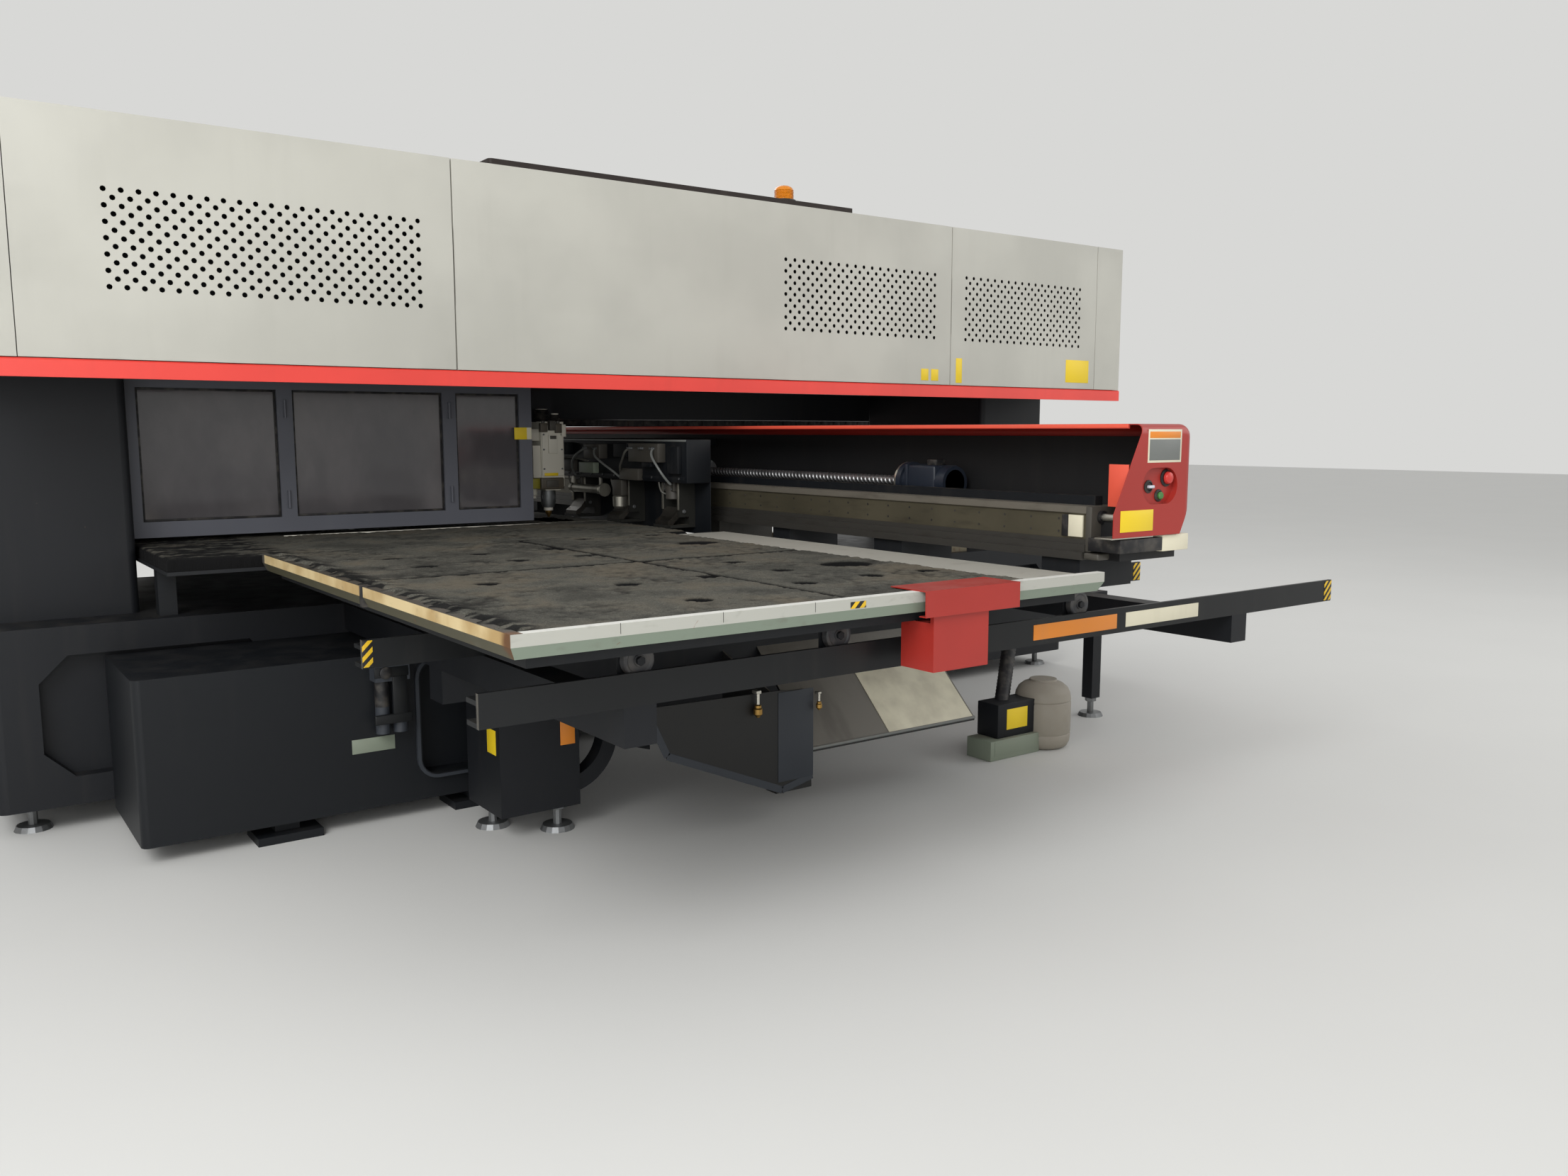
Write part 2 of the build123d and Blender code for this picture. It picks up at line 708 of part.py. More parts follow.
def wheel_place(front):
    """Where a wheel runs across its rail, from the rail's outer face inwards."""
    start = -front + rail_wall + wheel_gap
    return (start, start + wheel_width)


def table_frame():
    """A flat frame under the brushes, with a bracket and an axle pin for each wheel."""
    frame_x = (table_x[0] + frame_inset, table_x[1] - frame_inset)
    span(frame_x, (-table_end + frame_inset, -table_start), frame_z)
    link_end = slab_x[1] - frame_inset
    link_starts = [wheel_place(front)[1] for front in rail_fronts]
    for y in [(start, start + link_width) for start in link_starts] + [inner_link_y]:
        span((table_x[1] - frame_inset, link_end), y, frame_z)
        span((slab_x[0] + link_lap, link_end), y, (brush_bottom, beam_underside))
    for x in wheel_xs:
        for front in rail_fronts:
            bracket_y = wheel_place(front)[1] + wheel_gap
            bracket_z = (ledge_top + bracket_lift, frame_z[0])
            span(around(x, bracket_width), (bracket_y, bracket_y + bracket_wall), bracket_z)
            with BuildSketch(Plane((x, bracket_y, wheel_z), x_dir=(1, 0, 0), z_dir=(0, -1, 0))) as pin:
                Circle(wheel_pin_radius)
            extrude(pin.sketch, amount=wheel_width + 2 * wheel_gap - pin_end)


with BuildPart() as front_table_frame:
    table_frame()
front_table_frame.part.label = "front_table_frame"
export_step(front_table_frame.part, "parts/front_table_frame.step")

with BuildPart() as rear_table_frame:
    table_frame()
    mirror(about=Plane.XZ, mode=Mode.REPLACE)
rear_table_frame.part.label = "rear_table_frame"
export_step(rear_table_frame.part, "parts/rear_table_frame.step")


def wheel_pair(x):
    """The outer and inner wheels of one row, which turn on one axis."""
    for front in rail_fronts:
        wheel_y = wheel_place(front)
        with BuildSketch(Plane((x, wheel_y[1], wheel_z), x_dir=(1, 0, 0), z_dir=(0, -1, 0))) as wheel:
            Circle(wheel_radius)
            Circle(wheel_pin_radius + running_clearance, mode=Mode.SUBTRACT)
        extrude(wheel.sketch, amount=wheel_width)


for number, x in enumerate(wheel_xs, start=1):
    with BuildPart() as table_wheels:
        wheel_pair(x)
        mirror(about=Plane.XZ)
    table_wheels.part.label = f"table_wheels_{number}"
    export_step(table_wheels.part, f"parts/table_wheels_{number}.step")


def table_brushes():
    """Four brush mats over the table up to the plain strip, with a seam between each two."""
    half_seam = mat_seam / 2
    for x in ((table_x[0] + edge_width, mat_seam_x - half_seam), (mat_seam_x + half_seam, brush_right)):
        for y in ((-table_end + edge_width, mat_seam_y - half_seam), (mat_seam_y + half_seam, -table_start)):
            span(x, y, (brush_bottom, pass_line))


with BuildPart() as front_brushes:
    table_brushes()
front_brushes.part.label = "front_brushes"
export_step(front_brushes.part, "parts/front_brushes.step")

with BuildPart() as rear_brushes:
    table_brushes()
    mirror(about=Plane.XZ, mode=Mode.REPLACE)
rear_brushes.part.label = "rear_brushes"
export_step(rear_brushes.part, "parts/rear_brushes.step")


def table_edges():
    """The front and side bars, bevelled underneath along their outer sides, and the plain strip beside the beam."""
    bevel = edge_height / 2
    front_y = (-table_end, -table_end + edge_width)
    side_x = (table_x[0], table_x[0] + edge_width)
    side_y = (front_y[1], -table_start)
    span(table_x, front_y, edge_z)
    span(side_x, (side_y[0], side_joint_y - side_joint / 2), edge_z)
    span(side_x, (side_joint_y + side_joint / 2, side_y[1]), edge_z)
    with BuildSketch(Plane.YZ.offset(table_x[0])) as front_cut:
        with BuildLine():
            Polyline(
                (front_y[0], edge_z[0]),
                (front_y[0], edge_z[0] + bevel),
                (front_y[0] + edge_width / 2, edge_z[0]),
                close=True,
            )
        make_face()
    extrude(front_cut.sketch, amount=table_x[1] - table_x[0], mode=Mode.SUBTRACT)
    for outer, inner, length in (
        (table_x[0], table_x[0] + edge_width / 2, side_y[1] - front_y[0]),
        (table_x[1], table_x[1] - edge_width / 2, edge_width),
    ):
        with BuildSketch(Plane.XZ.offset(-front_y[0])) as side_cut:
            with BuildLine():
                Polyline((outer, edge_z[0]), (outer, edge_z[0] + bevel), (inner, edge_z[0]), close=True)
            make_face()
        extrude(side_cut.sketch, amount=-length, mode=Mode.SUBTRACT)
    span((brush_right, table_x[1]), side_y, (brush_bottom, strip_top))


with BuildPart() as front_edges:
    table_edges()
front_edges.part.label = "front_edges"
export_step(front_edges.part, "parts/front_edges.step")

with BuildPart() as rear_edges:
    table_edges()
    mirror(about=Plane.XZ, mode=Mode.REPLACE)
rear_edges.part.label = "rear_edges"
export_step(rear_edges.part, "parts/rear_edges.step")

# The red sheet-metal cover on the front table's edge: a hood over the edge and a box below it
hood_top = pass_line + sheet_metal
hood_bottom = pass_line - hood_height
edge_front = -table_end - rest_gap
with BuildPart() as table_cover:
    with BuildSketch(Plane.YZ.offset(hood_x[0])):
        with BuildLine():
            Polyline(
                (-beam_back, hood_bottom),
                (-beam_back, hood_top),
                (-beam_back + hood_depth, hood_top),
                (-beam_back + hood_depth, pass_line),
                (-beam_back + sheet_metal, pass_line),
                (-beam_back + sheet_metal, hood_bottom + sheet_metal),
                (edge_front, hood_bottom + sheet_metal),
                (edge_front, hood_bottom),
                close=True,
            )
        make_face()
    extrude(amount=hood_x[1] - hood_x[0])
    box_top = frame_z[0] - rest_gap
    with BuildSketch(Plane.YZ.offset(switch_box_x[0])):
        with BuildLine():
            Polyline(
                (-beam_back + switch_box_step, switch_box_bottom),
                (-beam_back + switch_box_step, hood_bottom),
                (edge_front, hood_bottom),
                (edge_front, box_top),
                (-beam_back + hood_depth, box_top),
                (-beam_back + hood_depth, switch_box_bottom),
                close=True,
            )
        make_face()
    extrude(amount=switch_box_x[1] - switch_box_x[0])
table_cover.part.label = "table_cover"
export_step(table_cover.part, "parts/table_cover.step")

# The feed beam: guide bed with its slab, saddles, guides, red cover and end plates
slab_z = (beam_underside, beam_underside + slab_height)
guide_bed_top = slab_z[0] + slab_height + bed_height
foot_step_z = slab_z[1] + bed_foot_rise
frame_guide_z = (bed_top, bed_top + frame_guide_height)
with BuildPart() as beam_bed:
    with BuildSketch(Plane.XZ.offset(-bed_end)):
        with BuildLine():
            Polyline(
                (slab_x[0], slab_z[0]),
                (slab_x[1], slab_z[0]),
                (slab_x[1], slab_z[1]),
                (bed_face_x + bed_width, slab_z[1]),
                (bed_face_x + bed_width, guide_bed_top),
                (bed_face_x, guide_bed_top),
                (bed_face_x, guide_bed_top - bed_lip),
                (bed_face_x + bed_groove, guide_bed_top - bed_lip - bed_groove),
                (bed_face_x + bed_groove, slab_z[1] + bed_foot),
                (bed_face_x, slab_z[1] + bed_foot),
                (bed_face_x, foot_step_z),
                (bed_face_x - bed_foot_step, foot_step_z),
                (bed_face_x - bed_foot_step, slab_z[1]),
                (slab_x[0], slab_z[1]),
                close=True,
            )
        make_face()
    extrude(amount=2 * bed_end)
    saddle_x = (slab_x[0] + saddle_step, slab_x[1])
    for y in (-saddle_y, saddle_y):
        span(saddle_x, around(y, saddle_width), (frame_guide_z[1] + rest_gap, slab_z[0]))
beam_bed.part.label = "beam_bed"
export_step(beam_bed.part, "parts/beam_bed.step")

with BuildPart() as frame_guides:
    for y in (-saddle_y, saddle_y):
        span(frame_guide_x, around(y, frame_guide_width), frame_guide_z)
frame_guides.part.label = "frame_guides"
export_step(frame_guides.part, "parts/frame_guides.step")

guide_x = bed_face_x + bed_width / 2 + guide_offset
with BuildPart() as carriage_guide:
    with BuildSketch(Plane.XZ.offset(-bed_end + guide_end)):
        with Locations((guide_x, guide_bed_top + guide_height / 2)):
            Rectangle(guide_width, guide_height)
    extrude(amount=2 * (bed_end - guide_end))
carriage_guide.part.label = "carriage_guide"
export_step(carriage_guide.part, "parts/carriage_guide.step")

cover_corner = 40.0
fold_radius = 0.5
with BuildPart() as beam_cover:
    with BuildSketch(Plane.XZ.offset(sheet_metal - beam_back)):
        with BuildLine():
            inner_right = cover_right_x - sheet_metal
            inner_top = cover_top - sheet_metal
            FilletPolyline(
                (cover_left_x, cover_top - cover_lip),
                (cover_left_x, cover_top),
                (cover_right_x, cover_top),
                (cover_right_x, cover_bottom),
                radius=(fold_radius, cover_corner),
            )
            Line((cover_right_x, cover_bottom), (inner_right, cover_bottom))
            FilletPolyline(
                (inner_right, cover_bottom),
                (inner_right, inner_top),
                (cover_left_x + sheet_metal, inner_top),
                (cover_left_x + sheet_metal, cover_top - cover_lip),
                radius=(cover_corner - sheet_metal, fold_radius),
            )
            Line((cover_left_x + sheet_metal, cover_top - cover_lip), (cover_left_x, cover_top - cover_lip))
        make_face()
    extrude(amount=beam_back + beam_front - sheet_metal - cap_depth)
beam_cover.part.label = "beam_cover"
export_step(beam_cover.part, "parts/beam_cover.step")

spine_x = (cover_right_x - sheet_metal - spine_width, cover_right_x - sheet_metal)
with BuildPart() as beam_spine:
    spine_y = (-beam_front + cap_depth, beam_back - cap_depth)
    span(spine_x, spine_y, (slab_z[1], cover_top - cover_corner))
    for foot_y in ((spine_y[0], spine_y[0] + spine_foot), (spine_y[1] - spine_foot, spine_y[1])):
        span((slab_x[0] + spine_foot_inset, spine_x[0]), foot_y, (slab_z[0], cover_bottom + spine_foot_rise))
        span((spine_x[0], slab_x[1]), foot_y, slab_z)
beam_spine.part.label = "beam_spine"
export_step(beam_spine.part, "parts/beam_spine.step")


def end_outline(inset):
    """The end plate's outline, with its slanted left edge and cut foot, drawn in at its top and right."""
    right = cover_right_x - inset
    Polyline(
        (cover_left_x - inset, cover_top - inset),
        (right, cover_top - inset),
        (right, cover_bottom + end_foot[1]),
        (right - end_foot[0], cover_bottom - inset),
        (end_left_x - inset, cover_bottom - inset),
        (end_left_x - inset, cover_bottom + end_step),
        close=True,
    )


def top_right_corner(outline):
    """The corner of the end plate's outline that follows the cover's round edge."""
    return outline.vertices().group_by(Axis.Y)[-1].sort_by(Axis.X)[-1]


def end_cap(inset):
    """The end cap as a full block, or its hollow when the walls are drawn in by their thickness."""
    with BuildPart(mode=Mode.PRIVATE) as cap:
        with BuildSketch(Plane.XZ.offset(beam_front - inset)) as outline:
            with BuildLine():
                end_outline(inset)
            make_face()
            fillet(top_right_corner(outline), cover_corner - inset)
        extrude(amount=-cap_depth)
        front_edges = cap.edges().group_by(Axis.Y)[0]
        fillet(front_edges.filter_by(Axis.Z).sort_by(Axis.X)[-1], cap_round - inset)
    return cap.part


panel_face_y = -beam_front + recess_depth
button_bores = ((e_stop_place, e_stop_stem), (start_place, start_stem), (selector_place, selector_stem))
with BuildPart() as beam_end_plates:
    add(end_cap(0))
    add(end_cap(sheet_metal), mode=Mode.SUBTRACT)
    with BuildSketch(Plane.XZ.offset(beam_front)):
        with Locations(recess_centre):
            SlotOverall(recess_size[0] + 2 * sheet_metal, recess_size[1] + 2 * sheet_metal)
    extrude(amount=-recess_depth - sheet_metal)
    with BuildSketch(Plane.XZ.offset(beam_front)):
        with Locations(recess_centre):
            SlotOverall(recess_size[0], recess_size[1])
    extrude(amount=-recess_depth, mode=Mode.SUBTRACT)
    with BuildSketch(Plane.XZ.offset(-panel_face_y)):
        for place, stem in button_bores:
            with Locations(place):
                Circle(stem + running_clearance)
    extrude(amount=-sheet_metal, mode=Mode.SUBTRACT)
    flap_x = (bed_face_x - sheet_metal, bed_face_x)
    flap_z = (guide_bed_top + flap_gap, guide_bed_top + flap_gap + flap_height)
    span(flap_x, (-beam_front + sheet_metal, -beam_front + flap_length), flap_z)
    with BuildSketch(Plane.XZ.offset(-beam_back)) as rear_outline:
        with BuildLine():
            end_outline(0)
        make_face()
        fillet(top_right_corner(rear_outline), cover_corner)
    extrude(amount=sheet_metal)
beam_end_plates.part.label = "beam_end_plates"
export_step(beam_end_plates.part, "parts/beam_end_plates.step")


def button(place, stem, head, head_length, travel):
    """A stem through the panel with a round head standing off it."""
    with BuildSketch(Plane((0, panel_face_y + stem_back, 0), x_dir=(1, 0, 0), z_dir=(0, -1, 0))) as rod:
        with Locations(place):
            Circle(stem)
    extrude(rod.sketch, amount=stem_back + travel + head_stand)
    with BuildSketch(Plane((0, panel_face_y - travel - head_stand, 0), x_dir=(1, 0, 0), z_dir=(0, -1, 0))) as cap:
        with Locations(place):
            Circle(head)
    extrude(cap.sketch, amount=head_length)


with BuildPart() as e_stop:
    button(e_stop_place, e_stop_stem, *e_stop_head, button_travel)
    chamfer(e_stop.edges().group_by(Axis.Y)[0], button_edge)
e_stop.part.label = "e_stop"
export_step(e_stop.part, "parts/e_stop.step")

with BuildPart() as start_button:
    button(start_place, start_stem, *start_head, button_travel)
start_button.part.label = "start_button"
export_step(start_button.part, "parts/start_button.step")

with BuildPart() as selector:
    button(selector_place, selector_stem, *selector_head, 0)
    lever_y = (panel_face_y - lever_stand - lever_size[1], panel_face_y - lever_stand)
    span(around(selector_place[0], lever_size[0]), lever_y, around(selector_place[1], lever_size[2]))
selector.part.label = "selector"
export_step(selector.part, "parts/selector.step")

# The ball screw with its motor and bearings
with BuildPart() as screw_supports:
    motor_front = -screw_bearing_y - motor_length
    with BuildSketch(Plane((screw_x, -screw_bearing_y + bearing_length, screw_z), z_dir=(0, -1, 0))):
        Circle(bearing_radius)
    extrude(amount=bearing_length)
    with BuildSketch(Plane((screw_x, -screw_bearing_y, screw_z), z_dir=(0, -1, 0))):
        Circle(motor_radius)
    extrude(amount=motor_length)
    stand = around(screw_x, stand_width)
    span(stand, (motor_front + stand_inset, -screw_bearing_y), (slab_z[1], screw_z))
    rear_stand = (screw_bearing_y - bearing_length, screw_bearing_y + stand_depth)
    span(stand, rear_stand, (slab_z[1], screw_z + stand_width / 2))
    with BuildSketch(Plane((screw_x, screw_bearing_y, screw_z), z_dir=(0, -1, 0))):
        Circle(screw_radius + running_clearance)
    extrude(amount=2 * screw_bearing_y, mode=Mode.SUBTRACT)
screw_supports.part.label = "screw_supports"
export_step(screw_supports.part, "parts/screw_supports.step")

with BuildPart() as ball_screw:
    with BuildSketch(Plane((screw_x, screw_bearing_y - rest_gap, screw_z), z_dir=(0, -1, 0))):
        Circle(screw_radius)
    extrude(amount=2 * screw_bearing_y - 2 * rest_gap)
ball_screw.part.label = "ball_screw"
export_step(ball_screw.part, "parts/ball_screw.step")

# The clamp carriage on its guide, with three clamps for the sheet's edge
carriage_ends = around(carriage_y, carriage_length)
runner_x = around(guide_x, guide_width + 2 * rest_gap)
runner_top = guide_bed_top + guide_height + rest_gap
plate_bottom = carriage_top - carriage_plate
apron_bottom = carriage_top - apron_height
carriage_foot = guide_bed_top + carriage_lift
carriage_right_x = screw_x + carriage_reach
with BuildPart() as clamp_carriage:
    with BuildSketch(Plane.XZ.offset(-carriage_ends[0])):
        with BuildLine():
            Polyline(
                (carriage_left_x, carriage_top),
                (carriage_right_x, carriage_top),
                (carriage_right_x, plate_bottom),
                (runner_x[1] + carriage_cheek, plate_bottom),
                (runner_x[1] + carriage_cheek, carriage_foot),
                (runner_x[1], carriage_foot),
                (runner_x[1], runner_top),
                (runner_x[0], runner_top),
                (runner_x[0], carriage_foot),
                (runner_x[0] - carriage_wall, carriage_foot),
                (runner_x[0] - carriage_wall, apron_bottom),
                (carriage_left_x, apron_bottom),
                close=True,
            )
        make_face()
    extrude(amount=-carriage_length)
    nut_y = around(carriage_y, nut_length)
    span(around(screw_x, nut_size), nut_y, (screw_z - nut_size / 2, plate_bottom))
    with BuildSketch(Plane((screw_x, nut_y[1], screw_z), z_dir=(0, -1, 0))):
        Circle(screw_radius + running_clearance)
    extrude(amount=nut_length, mode=Mode.SUBTRACT)
clamp_carriage.part.label = "clamp_carriage"
export_step(clamp_carriage.part, "parts/clamp_carriage.step")

clamp_ys = [carriage_y + step * clamp_pitch for step in (-1, 0, 1)]
lower_jaw_z = (pass_line - lower_jaw, pass_line)
clamp_neck_x = (28.0, 60.0)
jaw_nose_x = jaw_pivot_x - jaw_reach
cheek = 17.0
cheek_lap = (22.0, 25.0)    # how far a cheek reaches past the pivot, to its left and below it
cheek_offset = (clamp_width - cheek) / 2
with BuildPart() as clamp_bodies:
    for y in clamp_ys:
        with BuildSketch(Plane.XZ.offset(-y - clamp_width / 2)):
            with BuildLine():
                Polyline(
                    (jaw_nose_x, lower_jaw_z[0]),
                    (clamp_neck_x[1], lower_jaw_z[0]),
                    (clamp_neck_x[1], apron_bottom),
                    (clamp_neck_x[0], apron_bottom),
                    (clamp_neck_x[0], lower_jaw_z[1]),
                    (jaw_nose_x, lower_jaw_z[1]),
                    close=True,
                )
            make_face()
        extrude(amount=clamp_width)
        for cheek_y in (y - cheek_offset, y + cheek_offset):
            cheek_x = (jaw_pivot_x - cheek_lap[0], clamp_neck_x[0])
            span(cheek_x, around(cheek_y, cheek), (jaw_pivot_z - cheek_lap[1], apron_bottom))
        with BuildSketch(Plane((jaw_pivot_x, y + clamp_width / 2, jaw_pivot_z), z_dir=(0, -1, 0))):
            Circle(jaw_pin_radius + running_clearance)
        extrude(amount=clamp_width, mode=Mode.SUBTRACT)
clamp_bodies.part.label = "clamp_bodies"
export_step(clamp_bodies.part, "parts/clamp_bodies.step")

jaw_width = clamp_width - 2 * cheek - 2 * jaw_side_gap
jaw_bottom = lower_jaw_z[1] + jaw_gap
nose_shape = ((0, 0), (24, 0), (34, 12))  # from the nose's tip along the jaw's underside
back_shape = ((-4, -18), (15, -12), (15, 14), (-12, 18))  # round the pivot
brow_shape = ((26, 36), (0, 18))  # back to the nose along the jaw's top
for number, y in enumerate(clamp_ys, start=1):
    with BuildPart() as clamp_jaw:
        with BuildSketch(Plane.XZ.offset(-y - jaw_width / 2)):
            with BuildLine():
                Polyline(
                    *[(jaw_nose_x + x, jaw_bottom + z) for x, z in nose_shape],
                    *[(jaw_pivot_x + x, jaw_pivot_z + z) for x, z in back_shape],
                    *[(jaw_nose_x + x, jaw_bottom + z) for x, z in brow_shape],
                    close=True,
                )
            make_face()
        extrude(amount=jaw_width)
        with BuildSketch(Plane((jaw_pivot_x, y + clamp_width / 2, jaw_pivot_z), z_dir=(0, -1, 0))):
            Circle(jaw_pin_radius)
        extrude(amount=clamp_width)
    clamp_jaw.part.label = f"clamp_jaw_{number}"
    export_step(clamp_jaw.part, f"parts/clamp_jaw_{number}.step")

# What hangs and stands under the front table: chute, service cabinet, air unit and dust collector
chute_y = (-2050.0, base_beam_y[0])
chute_z = (224.0, 560.0)
chute_wall = 12.0
chute_side = 6.0
chute_box_depth = 60.0
chute_side_rise = 210.0
front_plate = ((-951, 478), (-864, 295), (-396, 98), (-261, 130), (-261, 450), (-407, 469))
with BuildPart() as work_chute:
    with BuildSketch(Plane.YZ.offset(chute_x[0])):
        with BuildLine():
            Polyline(
                (chute_y[1], chute_z[1]),
                (chute_y[0], chute_z[0] + chute_wall),
                (chute_y[0], chute_z[0]),
                (chute_y[1], chute_z[1] - chute_wall),
                close=True,
            )
        make_face()
    extrude(amount=chute_x[1] - chute_x[0])
    with BuildSketch(Plane.YZ.offset(chute_box_x[0])):
        with BuildLine():
            Polyline(
                (chute_y[1], chute_z[1]),
                (chute_y[0], chute_box_z[1]),
                (chute_y[0], chute_box_z[0]),
                (chute_y[0] + chute_box_depth, chute_box_z[0]),
                (chute_y[1], chute_box_z[0] + chute_side_rise),
                close=True,
            )
        make_face()
    extrude(amount=chute_side)
    span((chute_box_x[0], chute_x[0]), (chute_y[0], chute_y[0] + chute_box_depth), chute_box_z)
    with BuildSketch(Plane.XZ.offset(-chute_y[0])):
        with BuildLine():
            Polyline(*front_plate, close=True)
        make_face()
    extrude(amount=chute_side)
work_chute.part.label = "work_chute"
export_step(work_chute.part, "parts/work_chute.step")

with BuildPart() as service_cabinet:
    span(cabinet_x, cabinet_y, cabinet_z)
    fillet(service_cabinet.edges().filter_by(Axis.Z).group_by(Axis.Y)[0], cabinet_corner)
    with BuildSketch(Plane.XZ.offset(-cabinet_y[0])):
        with Locations(bay_place):
            RectangleRounded(bay_size[0] + 2 * bay_rim, bay_size[1] + 2 * bay_rim, bay_corner + bay_rim)
    extrude(amount=bay_rim)
    with BuildSketch(Plane.XZ.offset(-cabinet_y[0] + bay_rim)):
        with Locations(bay_place):
            RectangleRounded(bay_size[0], bay_size[1], bay_corner)
    extrude(amount=-bay_depth, mode=Mode.SUBTRACT)
    for foot_x in cabinet_feet_x:
        span(around(foot_x, cabinet_foot[0]), around(cabinet_foot_y, cabinet_foot[1]), (0, cabinet_foot[2]))
        post_y = around(cabinet_y[0] + cabinet_post, cabinet_post)
        span(around(foot_x, cabinet_post), post_y, (0, cabinet_z[0]))
service_cabinet.part.label = "service_cabinet"
export_step(service_cabinet.part, "parts/service_cabinet.step")

air_z = (330.0, 575.0)
air_head = (120.0, 60.0, 60.0)
air_bowl_radius = 24.0
with BuildPart() as air_unit:
    air_y = (cabinet_y[0] - air_head[1], cabinet_y[0])
    air_bowl_top = air_z[1] - air_head[2]
    span(around(air_x, air_head[0]), air_y, (air_bowl_top, air_z[1]))
    for x in around(air_x, air_head[0] / 2):
        with BuildSketch(Plane.XY.offset(air_z[0])):
            with Locations((x, (air_y[0] + air_y[1]) / 2)):
                Circle(air_bowl_radius)
        extrude(amount=air_bowl_top - air_z[0])
air_unit.part.label = "air_unit"
export_step(air_unit.part, "parts/air_unit.step")

drum_radius = 122.0
drum_height = 300.0
drum_steps = ((92.0, 0.0), (drum_radius, 34.0), (drum_radius, 226.0), (100.0, 272.0), (56.0, drum_height))
duct_radius = 32.0
drum_box = (390.0, 140.0, 85.0)  # the box on the floor beside the drum
drum_box_lap = 30.0
upper_box_step = (60.0, 20.0)
upper_box_top = 230.0
duct_start = (-240.0, 20.0, 200.0)  # from the drum's middle
duct_end = (60.0, 30.0)     # its head, from the drum's middle and above the cross beam's foot
with BuildPart() as dust_collector:
    with BuildSketch(Plane.XZ.offset(-drum_place[1])):
        with BuildLine():
            Polyline(
                (drum_place[0], 0),
                *[(drum_place[0] + radius, height) for radius, height in drum_steps],
                (drum_place[0], drum_height),
                close=True,
            )
        make_face()
    revolve(axis=Axis((*drum_place, 0), (0, 0, 1)))
    box_x = (drum_place[0] - drum_box[0], drum_place[0] - drum_radius + drum_box_lap)
    box_y = (drum_place[1] - drum_box[1] / 2, drum_place[1] + drum_box[1] / 2)
    span(box_x, box_y, (0, drum_box[2]))
    upper_box_x = (box_x[0] + upper_box_step[0], box_x[1])
    span(upper_box_x, (box_y[0] + upper_box_step[1], box_y[1]), (drum_box[2], upper_box_top))
    duct_foot = (drum_place[0] + duct_start[0], drum_place[1] + duct_start[1], duct_start[2])
    duct_head = (drum_place[0] + duct_end[0], sum(base_beam_y) / 2, base_beam_z[0] + duct_end[1])
    duct_run = Vector(*duct_head) - Vector(*duct_foot)
    with BuildSketch(Plane(duct_foot, z_dir=duct_run)):
        Circle(duct_radius)
    extrude(amount=duct_run.length)
    duct_cut = around(duct_head[1], 4 * base_beam_height)
    span(around(duct_head[0], 4 * base_beam_height), duct_cut, base_beam_z, Mode.SUBTRACT)
dust_collector.part.label = "dust_collector"
export_step(dust_collector.part, "parts/dust_collector.step")
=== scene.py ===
import math

import bmesh
import bpy
from mathutils import Matrix, Vector, noise


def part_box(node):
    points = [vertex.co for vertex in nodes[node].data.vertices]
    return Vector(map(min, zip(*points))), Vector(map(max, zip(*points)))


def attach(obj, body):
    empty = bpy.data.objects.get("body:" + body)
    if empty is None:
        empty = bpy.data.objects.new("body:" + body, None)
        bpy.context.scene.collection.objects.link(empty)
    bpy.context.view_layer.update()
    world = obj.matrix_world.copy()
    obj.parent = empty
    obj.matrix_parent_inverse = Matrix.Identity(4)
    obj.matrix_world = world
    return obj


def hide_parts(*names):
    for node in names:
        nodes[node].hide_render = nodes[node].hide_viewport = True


bl_info = {
    "name": "Laser cutting machine",
    "version": (1, 0, 0),
    "blender": (4, 5, 0),
    "location": "View3D > Sidebar > Machine",
    "description": "Panels, brushes, clamps, covers and finishes of a bridge machine that cuts sheet metal",
    "category": "Object",
}

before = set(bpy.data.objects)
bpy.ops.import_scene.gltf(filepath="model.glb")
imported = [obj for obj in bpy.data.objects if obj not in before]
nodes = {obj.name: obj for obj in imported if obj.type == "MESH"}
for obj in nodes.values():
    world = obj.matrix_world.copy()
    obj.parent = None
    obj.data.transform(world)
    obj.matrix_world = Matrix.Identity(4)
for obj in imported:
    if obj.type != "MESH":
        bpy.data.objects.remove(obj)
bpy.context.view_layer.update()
MM = 0.001
coats = {}


# Colours and sizes that a user would change

def linear(code):
    """The linear colour of an sRGB hex value."""
    parts = [int(code[place : place + 2], 16) / 255 for place in (1, 3, 5)]
    return [part / 12.92 if part <= 0.04045 else ((part + 0.055) / 1.055) ** 2.4 for part in parts] + [1.0]


def colour_property(name, description, code):
    """A colour that starts from an sRGB hex value."""
    return bpy.props.FloatVectorProperty(
        name=name, description=description, subtype="COLOR", size=4, min=0, max=1, default=linear(code)
    )


def length_property(name, description, millimetres):
    """A length in metres that starts from a value in millimetres."""
    return bpy.props.FloatProperty(
        name=name, description=description, subtype="DISTANCE", unit="LENGTH", default=millimetres * MM
    )


class HousingSettings(bpy.types.PropertyGroup):
    """The bridge housing's paint and its perforated fields"""

    paint: colour_property("Housing paint", "Textured powder coat of the housing", "#b6b5ac")
    skirt: colour_property("Skirt red", "Powder coat of the strip along the housing's foot", "#e4463d")
    cap: colour_property("Roof cap", "Enamel of the raised roof cap", "#2b2421")
    lens: colour_property("Beacon", "Colour of the beacon's lens", "#f0921c")
    hole: length_property("Hole", "Diameter of a hole in the perforated fields", 18)
    pitch: length_property("Pitch", "Distance between two holes of one row", 50)


